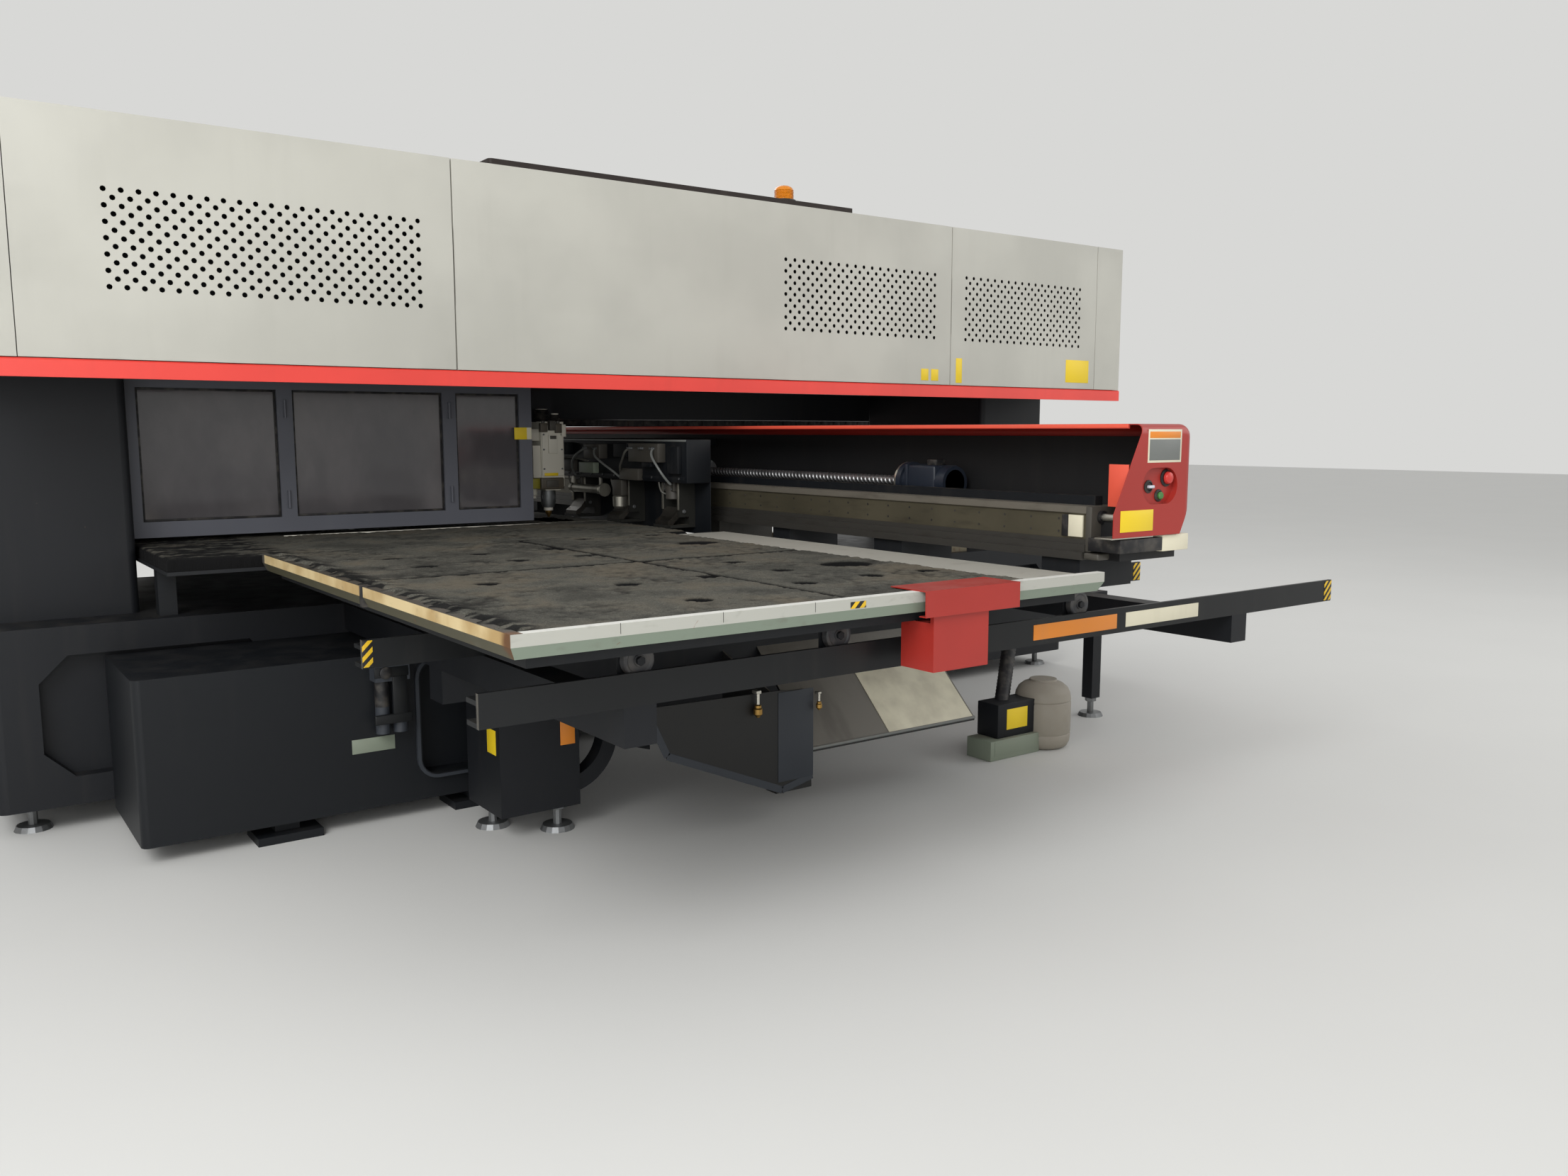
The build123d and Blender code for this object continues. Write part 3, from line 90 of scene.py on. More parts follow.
class TableSettings(bpy.types.PropertyGroup):
    """The brush tables, their edges and rails"""

    bristle: colour_property("Bristles", "Nylon bristles of the brush mats", "#57564f")
    bristle_dirt: colour_property("Dirt", "Scale and dust that lies in the bristles", "#665d4e")
    edge: colour_property("Edge bars", "Painted front bars of the tables", "#a9a9a1")
    edge_side: colour_property("Side bars", "Yellowed paint of the side bars", "#cdb98c")
    strip: colour_property("Strip", "Worn plain strip beside the brushes", "#a3a198")
    rail: colour_property("Rails", "Enamel of the table rails", "#101214")
    tuft: length_property("Tuft", "Distance between two tufts of a brush mat", 7.5)
    tuft_depth: length_property("Tuft depth", "How unevenly the bristle tips stand", 6)
    tuft_row: length_property("Tuft row", "Distance between the clumps along a mat's outer edge", 95)


class BeamSettings(bpy.types.PropertyGroup):
    """The feed beam with its covers, screw and clamps"""

    cover: colour_property("Cover red", "Powder coat of the beam's covers", "#9e2b23")
    # The flap's colour also paints the highlight along the beam cover's top edge
    flap: colour_property("Flap", "Powder coat of the flap beside the end plate", "#dc5640")
    plate: colour_property("Plates", "Enamelled blank plates", "#e8c81f")
    clamp: colour_property("Clamps", "Ground and nickelled clamps", "#b5b2a6")
    bed: colour_property("Guide bed", "Oiled face of the guide bed", "#4f4a3b")


class StageSettings(bpy.types.PropertyGroup):
    """Floor, light and camera"""

    floor: colour_property("Floor", "Pale plain floor", "#cfcfcc")
    backdrop: colour_property("Backdrop", "Pale surroundings that the camera and the gloss see", "#d8d8d6")
    sky: bpy.props.FloatProperty(
        name="Sky", description="Strength of the even light from all round", default=0.72
    )
    lamp: bpy.props.FloatProperty(
        name="Lamp", description="Power of the large soft lamp", unit="POWER", default=490
    )
    lens: bpy.props.FloatProperty(
        name="Lens", description="Focal length of the camera", unit="CAMERA", default=27.8
    )


# Materials

def per_metre(millimetres):
    """The scale of a noise pattern whose grain has this size."""
    return 1000 / millimetres


def add_node(tree, kind, settings=None, inputs=None):
    """Adds a shader node with its settings. An input is a value, a colour's hex value, a socket, or a node
    whose live output feeds it."""
    node = tree.nodes.new("ShaderNode" + kind)
    for name, value in (settings or {}).items():
        setattr(node, name, value)
    for name, value in (inputs or {}).items():
        if isinstance(value, bpy.types.Node):
            value = next(output for output in value.outputs if output.enabled)
        if isinstance(value, bpy.types.NodeSocket):
            tree.links.new(value, node.inputs[name])
        else:
            node.inputs[name].default_value = linear(value) if isinstance(value, str) else value
    return node


MIXED = {"data_type": "RGBA"}
MULTIPLIED = {"data_type": "RGBA", "blend_type": "MULTIPLY"}
SMOOTH = {"interpolation_type": "SMOOTHSTEP"}
PRODUCT = {"operation": "MULTIPLY"}
ABSOLUTE = {"operation": "ABSOLUTE"}
LARGER = {"operation": "MAXIMUM"}


def new_coat(name):
    """An empty material, and the object coordinates that its patterns use."""
    material = bpy.data.materials.new(name)
    material.use_nodes = True
    material.node_tree.nodes.clear()
    coats[name] = material
    return material.node_tree, add_node(material.node_tree, "TexCoord").outputs["Object"]


def surface(tree, inputs):
    """Ends a material with a surface of these properties."""
    shader = add_node(tree, "BsdfPrincipled", inputs=inputs)
    add_node(tree, "OutputMaterial", inputs={"Surface": shader})


def span(value, start, end, low=0.0, high=1.0):
    """The inputs that map a value from one range to another."""
    return {"Value": value, "From Min": start, "From Max": end, "To Min": low, "To Max": high}


def patches(tree, place, grain, detail, found, reach=(0.0, 1.0), distortion=0.0, fade=SMOOTH):
    """A cloud pattern with a grain in millimetres: what is found of it between two values, spread over a
    reach."""
    cloud = add_node(
        tree, "TexNoise",
        inputs={"Vector": place, "Scale": per_metre(grain), "Detail": detail, "Distortion": distortion},
    )
    return add_node(tree, "MapRange", fade, span(cloud, *found, *reach))


def enamel(name, colour, rough=0.42, peel=2.5, dust=0.2, dust_colour="#8a8073", chips=0.0, gloss=0.5):
    """Sprayed or powder-coated paint on sheet steel. It gives the eye an even colour that drifts a little
    over a large sheet, the orange peel of the spray, dust that lies on what faces up and runs down in faint
    streaks, and chips down to the dark primer where parts knock against it."""
    tree, place = new_coat(name)
    drift = patches(tree, place, 420, 3, (0.3, 0.7), (0.93, 1.04))
    painted = add_node(tree, "Mix", MULTIPLIED, {0: 1.0, 6: colour, 7: drift})
    normal = add_node(tree, "NewGeometry").outputs["Normal"]
    up = add_node(tree, "SeparateXYZ", inputs={0: normal}).outputs["Z"]
    level = add_node(tree, "MapRange", SMOOTH, span(up, 0.2, 0.95))
    lying = patches(tree, place, 90, 6, (0.35, 0.75), (0, dust * 2))
    flat_dust = add_node(tree, "Math", PRODUCT, {0: level, 1: lying})
    down = add_node(tree, "Mapping", inputs={"Vector": place, "Scale": (1, 1, 0.12)})
    streaks = patches(tree, down, 60, 5, (0.52, 0.8), (0, dust * 0.5))
    soil = add_node(tree, "Math", {"operation": "ADD", "use_clamp": True}, {0: flat_dust, 1: streaks})
    shown = add_node(tree, "Mix", MIXED, {0: soil, 6: painted, 7: dust_colour})
    if chips:
        bare = patches(tree, place, 14, 4, (0.78 - chips, 0.81 - chips), distortion=0.4)
        shown = add_node(tree, "Mix", MIXED, {0: bare, 6: shown, 7: "#3a302a"})
    peel_noise = add_node(tree, "TexNoise", inputs={"Vector": place, "Scale": per_metre(peel), "Detail": 1})
    relief = add_node(tree, "Bump", inputs={"Strength": 0.25, "Distance": 0.0002, "Height": peel_noise})
    dulled = add_node(tree, "MapRange", inputs={"Value": soil, "To Min": rough, "To Max": 0.85})
    surface(tree, {
        "Base Color": shown, "Roughness": dulled, "IOR": 1.5, "Specular IOR Level": gloss, "Normal": relief,
    })


def worked_steel(name, colour, rough=0.35, rust=0.15, cut=(1, 1, 1), rust_colour="#6b4a31", oil=0.3):
    """Machined, ground or plated metal. It gives the eye fine lines along the cut, dark oil in patches, and
    brown rust where the oil is thin. The lines are drawn 2.5 mm apart, as coarse as they need to show."""
    tree, place = new_coat(name)
    along = add_node(tree, "Mapping", inputs={"Vector": place, "Scale": cut})
    lines = add_node(tree, "TexNoise", inputs={"Vector": along, "Scale": per_metre(2.5), "Detail": 3})
    tone = add_node(tree, "MapRange", inputs={"Value": lines, "To Min": 0.78, "To Max": 1.14})
    metal = add_node(tree, "Mix", MULTIPLIED, {0: 1.0, 6: colour, 7: tone})
    oily = patches(tree, place, 130, 5, (0.42, 0.7), (0, oil))
    oiled = add_node(tree, "Mix", MIXED, {0: oily, 6: metal, 7: "#231f1a"})
    rusty = patches(tree, place, 45, 7, (0.78 - rust, 0.95 - rust), distortion=0.5)
    shown = add_node(tree, "Mix", MIXED, {0: rusty, 6: oiled, 7: rust_colour})
    bright = add_node(tree, "MapRange", inputs={"Value": rusty, "To Min": 0.9, "To Max": 0.15})
    dulled = add_node(tree, "MapRange", inputs={"Value": rusty, "To Min": rough, "To Max": 0.8})
    relief = add_node(tree, "Bump", inputs={"Strength": 0.2, "Distance": 0.0004, "Height": lines})
    surface(tree, {"Base Color": shown, "Metallic": bright, "Roughness": dulled, "Normal": relief})


def moulding(name, colour, rough=0.4, pattern=1.2, dust=0.2):
    """Moulded plastic or rubber. It gives the eye the fine grain of a spark-eroded mould, and dust in its
    flats."""
    tree, place = new_coat(name)
    dusty = patches(tree, place, 35, 6, (0.4, 0.75), (0, dust))
    shown = add_node(tree, "Mix", MIXED, {0: dusty, 6: colour, 7: "#8c8478"})
    fine = add_node(tree, "TexNoise", inputs={"Vector": place, "Scale": per_metre(pattern), "Detail": 1})
    relief = add_node(tree, "Bump", inputs={"Strength": 0.2, "Distance": 0.0002, "Height": fine})
    dulled = add_node(tree, "MapRange", inputs={"Value": dusty, "To Min": rough, "To Max": 0.85})
    surface(tree, {"Base Color": shown, "Roughness": dulled, "IOR": 1.46, "Normal": relief})


def bristle_mat(name, tips, dirt, low, high):
    """Tufts of crimped black nylon between the mat's low and high corners. They give the eye tips that are
    worn pale, painted shade that turns the pile near black below its tips and in the gaps of the outer row,
    and the brown scale that falls from the sheets. The single bristles are drawn 3 mm wide, as coarse as they
    need to show."""
    tree, place = new_coat(name)
    parts = add_node(tree, "SeparateXYZ", inputs={0: place}).outputs
    # Painted shade: below its tips the pile turns near black, for the shade between the tufts
    depth = add_node(tree, "MapRange", SMOOTH, span(parts["Z"], high.z - 0.0085, high.z - 0.0005))
    upright = add_node(tree, "Mapping", inputs={"Vector": place, "Scale": (1, 1, 0.15)})
    hairs = add_node(tree, "TexNoise", inputs={"Vector": upright, "Scale": per_metre(3), "Detail": 3})
    worn = add_node(tree, "MapRange", inputs=span(hairs, 0.3, 0.7, 0.45, 1.3))
    lit = add_node(tree, "Mix", MULTIPLIED, {0: 1.0, 6: tips, 7: worn})
    scale = patches(tree, place, 260, 7, (0.42, 0.75), (0, 0.6), 0.6)
    soiled_and_shaded = add_node(tree, "Mix", MIXED, {0: scale, 6: lit, 7: dirt})
    dull = patches(tree, place, 260, 7, (0.32, 0.52), (0.62, 1), 0.6)
    soiled_and_shaded = add_node(tree, "Mix", MULTIPLIED, {0: 1.0, 6: soiled_and_shaded, 7: dull})
    # Painted shadow: near-black gaps between the clumps along the mat's outer edge
    outer = add_node(tree, "MapRange", SMOOTH, span(parts["X"], low.x + 0.100, low.x + 0.030))
    lean = add_node(tree, "Mapping", inputs={"Vector": place, "Scale": (0.4, 1, 0)})
    gaps = patches(tree, lean, 60, 2, (0.43, 0.52), (0, 0.95))
    parted = add_node(tree, "Math", PRODUCT, {0: outer, 1: gaps})
    soiled_and_shaded = add_node(tree, "Mix", MIXED, {0: parted, 6: soiled_and_shaded, 7: "#0c0c0d"})
    shown = add_node(tree, "Mix", MIXED, {0: depth, 6: "#070708", 7: soiled_and_shaded})
    relief = add_node(tree, "Bump", inputs={"Strength": 0.7, "Distance": 0.003, "Height": hairs})
    surface(tree, {
        "Base Color": shown, "Roughness": 0.9, "IOR": 1.5, "Specular IOR Level": 0.2, "Normal": relief,
    })


def edge_bar(name, front, side, strip, low):
    """Painted table bars whose outer corner is at low. They give the eye chalky white in front, painted shade
    in grey-green and dark olive under the bevel, paint along the sides that oil has turned yellow, painted
    shade on the side bar's top, rust at the corner, and the plain strip that sheets have rubbed grey."""
    tree, place = new_coat(name)
    parts = add_node(tree, "SeparateXYZ", inputs={0: place}).outputs
    normal = add_node(tree, "NewGeometry").outputs["Normal"]
    facing = add_node(tree, "SeparateXYZ", inputs={0: normal}).outputs
    # Painted shade: faces that look down under the bevel turn grey-green, and dark olive on the side bar
    under = add_node(tree, "MapRange", SMOOTH, span(facing["Z"], -0.15, -0.4))
    bar = add_node(tree, "Mix", MIXED, {0: under, 6: front, 7: "#7e8a7b"})
    inside = low.x + 0.028
    outer = add_node(tree, "MapRange", SMOOTH, span(parts["X"], inside + 0.001, inside))
    across = add_node(tree, "Math", ABSOLUTE, {0: facing["Y"]})
    beside = add_node(tree, "MapRange", SMOOTH, span(across, 0.6, 0.4))
    side_face = add_node(tree, "Math", PRODUCT, {0: outer, 1: beside})
    oiled = patches(tree, place, 170, 6, (0.35, 0.7))
    yellow = add_node(tree, "Mix", MIXED, {0: oiled, 6: side, 7: "#a98d5c"})
    shaded = add_node(tree, "Mix", MIXED, {0: under, 6: yellow, 7: "#4d4a38"})
    bar = add_node(tree, "Mix", MIXED, {0: side_face, 6: bar, 7: shaded})
    # Painted shade: the side bar's top is near black, as if in the shadow of the overhanging tufts; the front
    # bar's top stays chalky white
    top = add_node(tree, "MapRange", SMOOTH, span(parts["Z"], 0.9492, 0.9499))
    crown = add_node(tree, "Mix", MIXED, {0: outer, 6: "#cfcfc9", 7: "#3b3830"})
    bar = add_node(tree, "Mix", MIXED, {0: top, 6: bar, 7: crown})
    inward = add_node(tree, "Math", ABSOLUTE, {0: parts["Y"]})
    inner = add_node(tree, "MapRange", SMOOTH, span(inward, 1.056, 1.053))
    bar = add_node(tree, "Mix", MIXED, {0: inner, 6: bar, 7: "#4a4741"})
    low_face = add_node(tree, "MapRange", SMOOTH, span(parts["Z"], 0.941, 0.939))
    flat = add_node(tree, "MapRange", SMOOTH, span(facing["Z"], 0.5, 0.8))
    rubbed = add_node(tree, "Math", PRODUCT, {0: low_face, 1: flat})
    bar = add_node(tree, "Mix", MIXED, {0: rubbed, 6: bar, 7: strip})
    wipe = add_node(tree, "Mapping", inputs={"Vector": place, "Scale": (0.5, 0.5, 1)})
    grime = add_node(tree, "TexNoise", inputs={"Vector": wipe, "Scale": per_metre(28), "Detail": 7})
    soil = add_node(tree, "MapRange", SMOOTH, span(grime, 0.56, 0.8, 0, 0.4))
    bar = add_node(tree, "Mix", MIXED, {0: soil, 6: bar, 7: "#6b665c"})
    rust = patches(tree, place, 26, 6, (0.70, 0.77), (0, 0.8), 0.8)
    bar = add_node(tree, "Mix", MIXED, {0: rust, 6: bar, 7: "#7a3f1d"})
    corner = add_node(tree, "VectorMath", {"operation": "DISTANCE"}, {0: place, 1: (low.x, low.y, 0.930)})
    scab = add_node(tree, "MapRange", SMOOTH, span(corner.outputs["Value"], 0.060, 0.025))
    scab = add_node(tree, "Math", PRODUCT, {0: scab, 1: side_face})
    bar = add_node(tree, "Mix", MIXED, {0: scab, 6: bar, 7: "#5c3a18"})
    relief = add_node(tree, "Bump", inputs={"Strength": 0.25, "Distance": 0.0008, "Height": grime})
    surface(tree, {"Base Color": bar, "Roughness": 0.5, "IOR": 1.5, "Normal": relief})


def guide_bed(name, tan, low, high):
    """The ground guide bed. It gives the eye a face that dried oil has stained tan between two heights, a
    wiped bright strip along the top edge, and grey steps at the foot."""
    tree, place = new_coat(name)
    height = add_node(tree, "SeparateXYZ", inputs={0: place}).outputs["Z"]
    tone = patches(tree, place, 240, 6, (0.3, 0.7), (0.8, 1.15), fade=None)
    oiled = add_node(tree, "Mix", MULTIPLIED, {0: 1.0, 6: tan, 7: tone})
    above = add_node(tree, "MapRange", SMOOTH, span(height, high - 0.001, high + 0.001))
    below = add_node(tree, "MapRange", SMOOTH, span(height, low + 0.001, low - 0.001))
    shown = add_node(tree, "Mix", MIXED, {0: above, 6: oiled, 7: "#6f6a60"})
    shown = add_node(tree, "Mix", MIXED, {0: below, 6: shown, 7: "#3b3935"})
    smear = add_node(tree, "Mapping", inputs={"Vector": place, "Scale": (1, 0.2, 1)})
    grime = add_node(tree, "TexNoise", inputs={"Vector": smear, "Scale": per_metre(30), "Detail": 6})
    dark = add_node(tree, "MapRange", SMOOTH, span(grime, 0.5, 0.8, 0, 0.5))
    shown = add_node(tree, "Mix", MIXED, {0: dark, 6: shown, 7: "#2b2721"})
    relief = add_node(tree, "Bump", inputs={"Strength": 0.2, "Distance": 0.0005, "Height": grime})
    surface(tree, {"Base Color": shown, "Metallic": 0.35, "Roughness": 0.5, "Normal": relief})


def chute_sheet(name):
    """The chute's sheet metal. It gives the eye enamel that sheets have scoured along the slide, and a front
    apron that is near black on its steep faces and along the front edge."""
    tree, place = new_coat(name)
    along = add_node(tree, "SeparateXYZ", inputs={0: place}).outputs["Y"]
    normal = add_node(tree, "NewGeometry").outputs["Normal"]
    tilt = add_node(tree, "SeparateXYZ", inputs={0: normal}).outputs["Z"]
    upright = add_node(tree, "Math", ABSOLUTE, {0: tilt})
    steep = add_node(tree, "MapRange", SMOOTH, span(upright, 0.45, 0.35))
    fore = add_node(tree, "MapRange", SMOOTH, span(along, -2.0475, -2.0495))
    apron = add_node(tree, "Math", LARGER, {0: steep, 1: fore})
    scour = add_node(tree, "Mapping", inputs={"Vector": place, "Scale": (1, 0.3, 0.3)})
    worn = add_node(tree, "TexNoise", inputs={"Vector": scour, "Scale": per_metre(70), "Detail": 7})
    dark = add_node(tree, "MapRange", SMOOTH, span(worn, 0.45, 0.8, 0, 0.5))
    slide = add_node(tree, "Mix", MIXED, {0: dark, 6: "#6d6961", 7: "#4b4740"})
    # The steep faces and the front edge turn near black, mottled between two dark tones
    oil = add_node(tree, "TexNoise", inputs={"Vector": place, "Scale": per_metre(120), "Detail": 5})
    brown = add_node(tree, "Mix", MIXED, {0: oil, 6: "#161512", 7: "#0f1011"})
    shown = add_node(tree, "Mix", MIXED, {0: apron, 6: slide, 7: brown})
    relief = add_node(tree, "Bump", inputs={"Strength": 0.2, "Distance": 0.0005, "Height": worn})
    surface(tree, {"Base Color": shown, "Roughness": 0.5, "IOR": 1.5, "Normal": relief})


def smoky_sheet(name):
    """Smoky polycarbonate sheet. It gives the eye a dark gloss with wiped smears, and the shapes behind."""
    tree, place = new_coat(name)
    wiped = add_node(tree, "Mapping", inputs={"Vector": place, "Scale": (1, 1, 0.5)})
    haze = patches(tree, wiped, 210, 5, (0.35, 0.8))
    tone = add_node(tree, "Mix", MIXED, {0: haze, 6: "#605d60", 7: "#7d797a"})
    dulled = add_node(tree, "MapRange", inputs={"Value": haze, "To Min": 0.06, "To Max": 0.2})
    surface(tree, {"Base Color": tone, "Roughness": dulled, "IOR": 1.58, "Transmission Weight": 0.35})


def hazard_paint(name):
    """Yellow enamel with black diagonal bars. They give the eye a worn rim and bars 11 mm wide."""
    tree, place = new_coat(name)
    slant = add_node(tree, "VectorMath", {"operation": "DOT_PRODUCT"}, {0: place, 1: (1, 0, -1)})
    slant = slant.outputs["Value"]
    bars = add_node(tree, "Math", {"operation": "FLOORED_MODULO"}, {0: slant, 1: 0.030})
    dark = add_node(tree, "MapRange", SMOOTH, span(bars, 0.0145, 0.0155))
    shown = add_node(tree, "Mix", MIXED, {0: dark, 6: "#d9b01c", 7: "#141416"})
    worn = patches(tree, place, 12, 5, (0.62, 0.72), (0, 0.5))
    shown = add_node(tree, "Mix", MIXED, {0: worn, 6: shown, 7: "#4d473e"})
    surface(tree, {"Base Color": shown, "Roughness": 0.5, "IOR": 1.5})


def clear_amber(name, colour):
    """Moulded amber acrylic of a beacon's lens. It gives the eye a glowing depth with a few fine moulding
    lines."""
    tree, place = new_coat(name)
    tone = patches(tree, place, 12, 2, (0, 1), (0.85, 1.1), fade=None)
    shown = add_node(tree, "Mix", MULTIPLIED, {0: 1.0, 6: colour, 7: tone})
    surface(tree, {"Base Color": shown, "Roughness": 0.2, "IOR": 1.49, "Transmission Weight": 0.25})


def make_coats(scene):
    """One finish for each kind of surface on the machine."""
    housing, tables, beam = scene.machine_housing, scene.machine_tables, scene.machine_beam
    enamel("housing powder coat", housing.paint, rough=0.5, peel=2.0, dust=0.10, dust_colour="#7f7a70")
    enamel("skirt powder coat", housing.skirt, rough=0.35, dust=0.12, dust_colour="#6d2b24")
    enamel("roof cap enamel", housing.cap, rough=0.6, dust=0.1, gloss=0.3)
    enamel("frame enamel", "#15171b", rough=0.5, dust=0.2, dust_colour="#3d3a35", chips=0.02, gloss=0.3)
    enamel("cabinet enamel", "#101317", rough=0.5, dust=0.12, dust_colour="#33312e", gloss=0.3)
    enamel("guard enamel", "#5b5d65", rough=0.45, dust=0.15, dust_colour="#7a7873", gloss=0.4)
    enamel("head enamel", "#d0ccbe", rough=0.4, dust=0.3, dust_colour="#6f6655", chips=0.02)
    enamel("oily head enamel", "#4e473c", rough=0.45, dust=0.4, dust_colour="#2f2a24", chips=0.04)
    enamel("table enamel", "#191b1e", rough=0.55, dust=0.2, dust_colour="#45413a", gloss=0.3)
    enamel("rail enamel", tables.rail, rough=0.42, dust=0.12, dust_colour="#57544d", chips=0.015, gloss=0.35)
    enamel("cover powder coat", beam.cover, rough=0.32, dust=0.10, dust_colour="#8a5a50", chips=0.01)
    enamel("flap powder coat", beam.flap, rough=0.4, dust=0.1)
    enamel("carriage enamel", "#101317", rough=0.5, dust=0.3, dust_colour="#4a453d", gloss=0.3)
    enamel("spine enamel", "#1a1a1b", rough=0.55, dust=0.2, dust_colour="#45413b", gloss=0.35)
    enamel("valve block enamel", "#45423c", rough=0.5, dust=0.4, dust_colour="#39342c", chips=0.03)
    enamel("motor enamel", "#1d232d", rough=0.4, dust=0.2, dust_colour="#4a4b4c", gloss=0.4)
    enamel("chute box enamel", "#33373d", rough=0.5, dust=0.2, dust_colour="#2b2c2d", chips=0.01, gloss=0.4)
    enamel("yellow plate enamel", beam.plate, rough=0.4, dust=0.15, dust_colour="#9c8428")
    enamel("yellow-green plate enamel", "#a39b3c", rough=0.45, dust=0.3, dust_colour="#5d552f")
    enamel("orange plate enamel", "#dd8426", rough=0.4, dust=0.2)
    enamel("cream plate enamel", "#d8d2ba", rough=0.45, dust=0.2)
    enamel("grey plate enamel", "#6f726f", rough=0.45, dust=0.2)
    enamel("green-grey plate enamel", "#7f8878", rough=0.45, dust=0.25)
    enamel("clamp enamel", "#22221f", rough=0.5, dust=0.5, dust_colour="#4c473c", chips=0.05, gloss=0.35)
    worked_steel("turned tool steel", "#8b8b8d", rough=0.3, rust=0.08)
    worked_steel(
        "ground guide steel", "#77705f", rough=0.45, rust=0.3, cut=(1, 0.05, 1), rust_colour="#5c4632"
    )
    worked_steel("rolled screw steel", "#a3a3a4", rough=0.4, rust=0.02, oil=0.35)
    worked_steel("nickelled clamp steel", beam.clamp, rough=0.42, rust=0.1, oil=0.35)
    worked_steel("dark jaw steel", "#5a5751", rough=0.45, rust=0.15, oil=0.6)
    worked_steel("bright turned steel", "#c9c6bb", rough=0.28, rust=0.03, oil=0.15)
    worked_steel("zinc-plated steel", "#8a8c8d", rough=0.5, rust=0.15, oil=0.4)
    worked_steel("spun brass", "#b8914f", rough=0.3, rust=0.02, oil=0.25)
    worked_steel("die-cast aluminium", "#8d9091", rough=0.5, rust=0.0, oil=0.3)
    moulding("black polyamide", "#18181a", rough=0.5)
    moulding("beacon socket plastic", "#1c1c1e", rough=0.45)
    moulding("drum polyethylene", "#8f897d", rough=0.5, pattern=3, dust=0.35)
    moulding("grey wheel polyamide", "#38393c", rough=0.5)
    moulding("stop button plastic", "#c33a35", rough=0.25, dust=0.1)
    moulding("start button plastic", "#3f7a3c", rough=0.25, dust=0.1)
    moulding("selector plastic", "#c9cdd6", rough=0.3, dust=0.1)
    moulding("gasket rubber", "#121214", rough=0.6)
    moulding("hose rubber", "#17171a", rough=0.55)
    moulding("pale hose", "#5d5d57", rough=0.5)
    moulding("ceramic ring", "#d8d4c8", rough=0.35, dust=0.05)
    bristle_mat("brush nylon", tables.bristle, tables.bristle_dirt, *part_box("front_brushes"))
    edge_bar("edge bar paint", tables.edge, tables.edge_side, tables.strip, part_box("front_edges")[0])
    bed_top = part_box("beam_bed")[1].z
    guide_bed("oiled guide bed", beam.bed, bed_top - 0.105, bed_top - 0.024)
    chute_sheet("scoured chute enamel")
    smoky_sheet("smoky polycarbonate")
    hazard_paint("hazard paint")
    clear_amber("clear amber plastic", housing.lens)


NODE_COATS = {
    "frame enamel": (
        "lower_frame left_column right_column upper_frame ram_housing laser_mount front_base rear_base"
    ),
    "cabinet enamel": "service_cabinet",
    "housing powder coat": "end_panel_left end_panel_right roof_panel",
    "skirt powder coat": "skirt_strips",
    "roof cap enamel": "roof_cap",
    "beacon socket plastic": "beacon_base",
    "guard enamel": "guard_frames",
    "smoky polycarbonate": "guard_panes",
    "turned tool steel": "upper_turret lower_turret ram",
    "head enamel": "laser_head",
    "table enamel": "fixed_table front_table_frame rear_table_frame",
    "zinc-plated steel": "levelling_feet",
    "rail enamel": "table_rails",
    "black polyamide": "table_wheels_1 table_wheels_2 table_wheels_3 selector",
    "edge bar paint": "front_edges rear_edges",
    "cover powder coat": "table_cover beam_cover beam_end_plates",
    "oiled guide bed": "beam_bed",
    "ground guide steel": "frame_guides",
    "carriage enamel": "carriage_guide clamp_carriage",
    "spine enamel": "beam_spine",
    "motor enamel": "screw_supports",
    "clamp enamel": "clamp_bodies",
    "dark jaw steel": "clamp_jaw_1 clamp_jaw_2 clamp_jaw_3",
    "scoured chute enamel": "work_chute",
    "chute box enamel": "air_unit",
    "drum polyethylene": "dust_collector",
    "stop button plastic": "e_stop",
    "start button plastic": "start_button",
    "brush nylon": "fixed_brushes front_brushes rear_brushes",
    "spun brass": "laser_nozzle",
    "rolled screw steel": "ball_screw",
    "clear amber plastic": "beacon_lens",
}


# Shapes

def placed(name, data):
    """A new object in the scene."""
    thing = bpy.data.objects.new(name, data)
    bpy.context.scene.collection.objects.link(thing)
    return thing


def finish(name, shape, body, finishes, stands_for=(), outward=False, smooth=35):
    """Makes a bmesh a piece that rides on a body and takes the finishes named."""
    if outward:
        bmesh.ops.recalc_face_normals(shape, faces=shape.faces)
    mesh = bpy.data.meshes.new(name)
    shape.to_mesh(mesh)
    shape.free()
    mesh.polygons.foreach_set("use_smooth", [True] * len(mesh.polygons))
    mesh.set_sharp_from_angle(angle=math.radians(smooth))
    for coat in [finishes] if isinstance(finishes, str) else finishes:
        mesh.materials.append(coats[coat])
    piece = placed(name, mesh)
    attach(piece, body)
    if stands_for:
        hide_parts(*stands_for)


def soften(shape, parts, width, segments=2, affect="EDGES"):
    """Bevels edges or corners of a shape."""
    bmesh.ops.bevel(
        shape, geom=parts, offset=width, offset_type="OFFSET", affect=affect, segments=segments, profile=0.5,
        material=-1,
    )


def cut_off(shape, place, normal, near=1e-6):
    """Cuts away what lies beyond a plane."""
    everything = shape.verts[:] + shape.edges[:] + shape.faces[:]
    bmesh.ops.bisect_plane(
        shape, geom=everything, dist=near, plane_co=place, plane_no=normal, clear_outer=True
    )


def close(shape):
    """Fills the open ends of a shape."""
    bmesh.ops.holes_fill(shape, edges=[e for e in shape.edges if e.is_boundary], sides=0)


def rounded_block(size, edge, segments=2):
    """A block about the origin with its edges rounded."""
    shape = bmesh.new()
    bmesh.ops.create_cube(shape, size=1)
    bmesh.ops.scale(shape, vec=size, verts=shape.verts)
    if edge:
        soften(shape, shape.edges[:], edge, segments)
    return shape


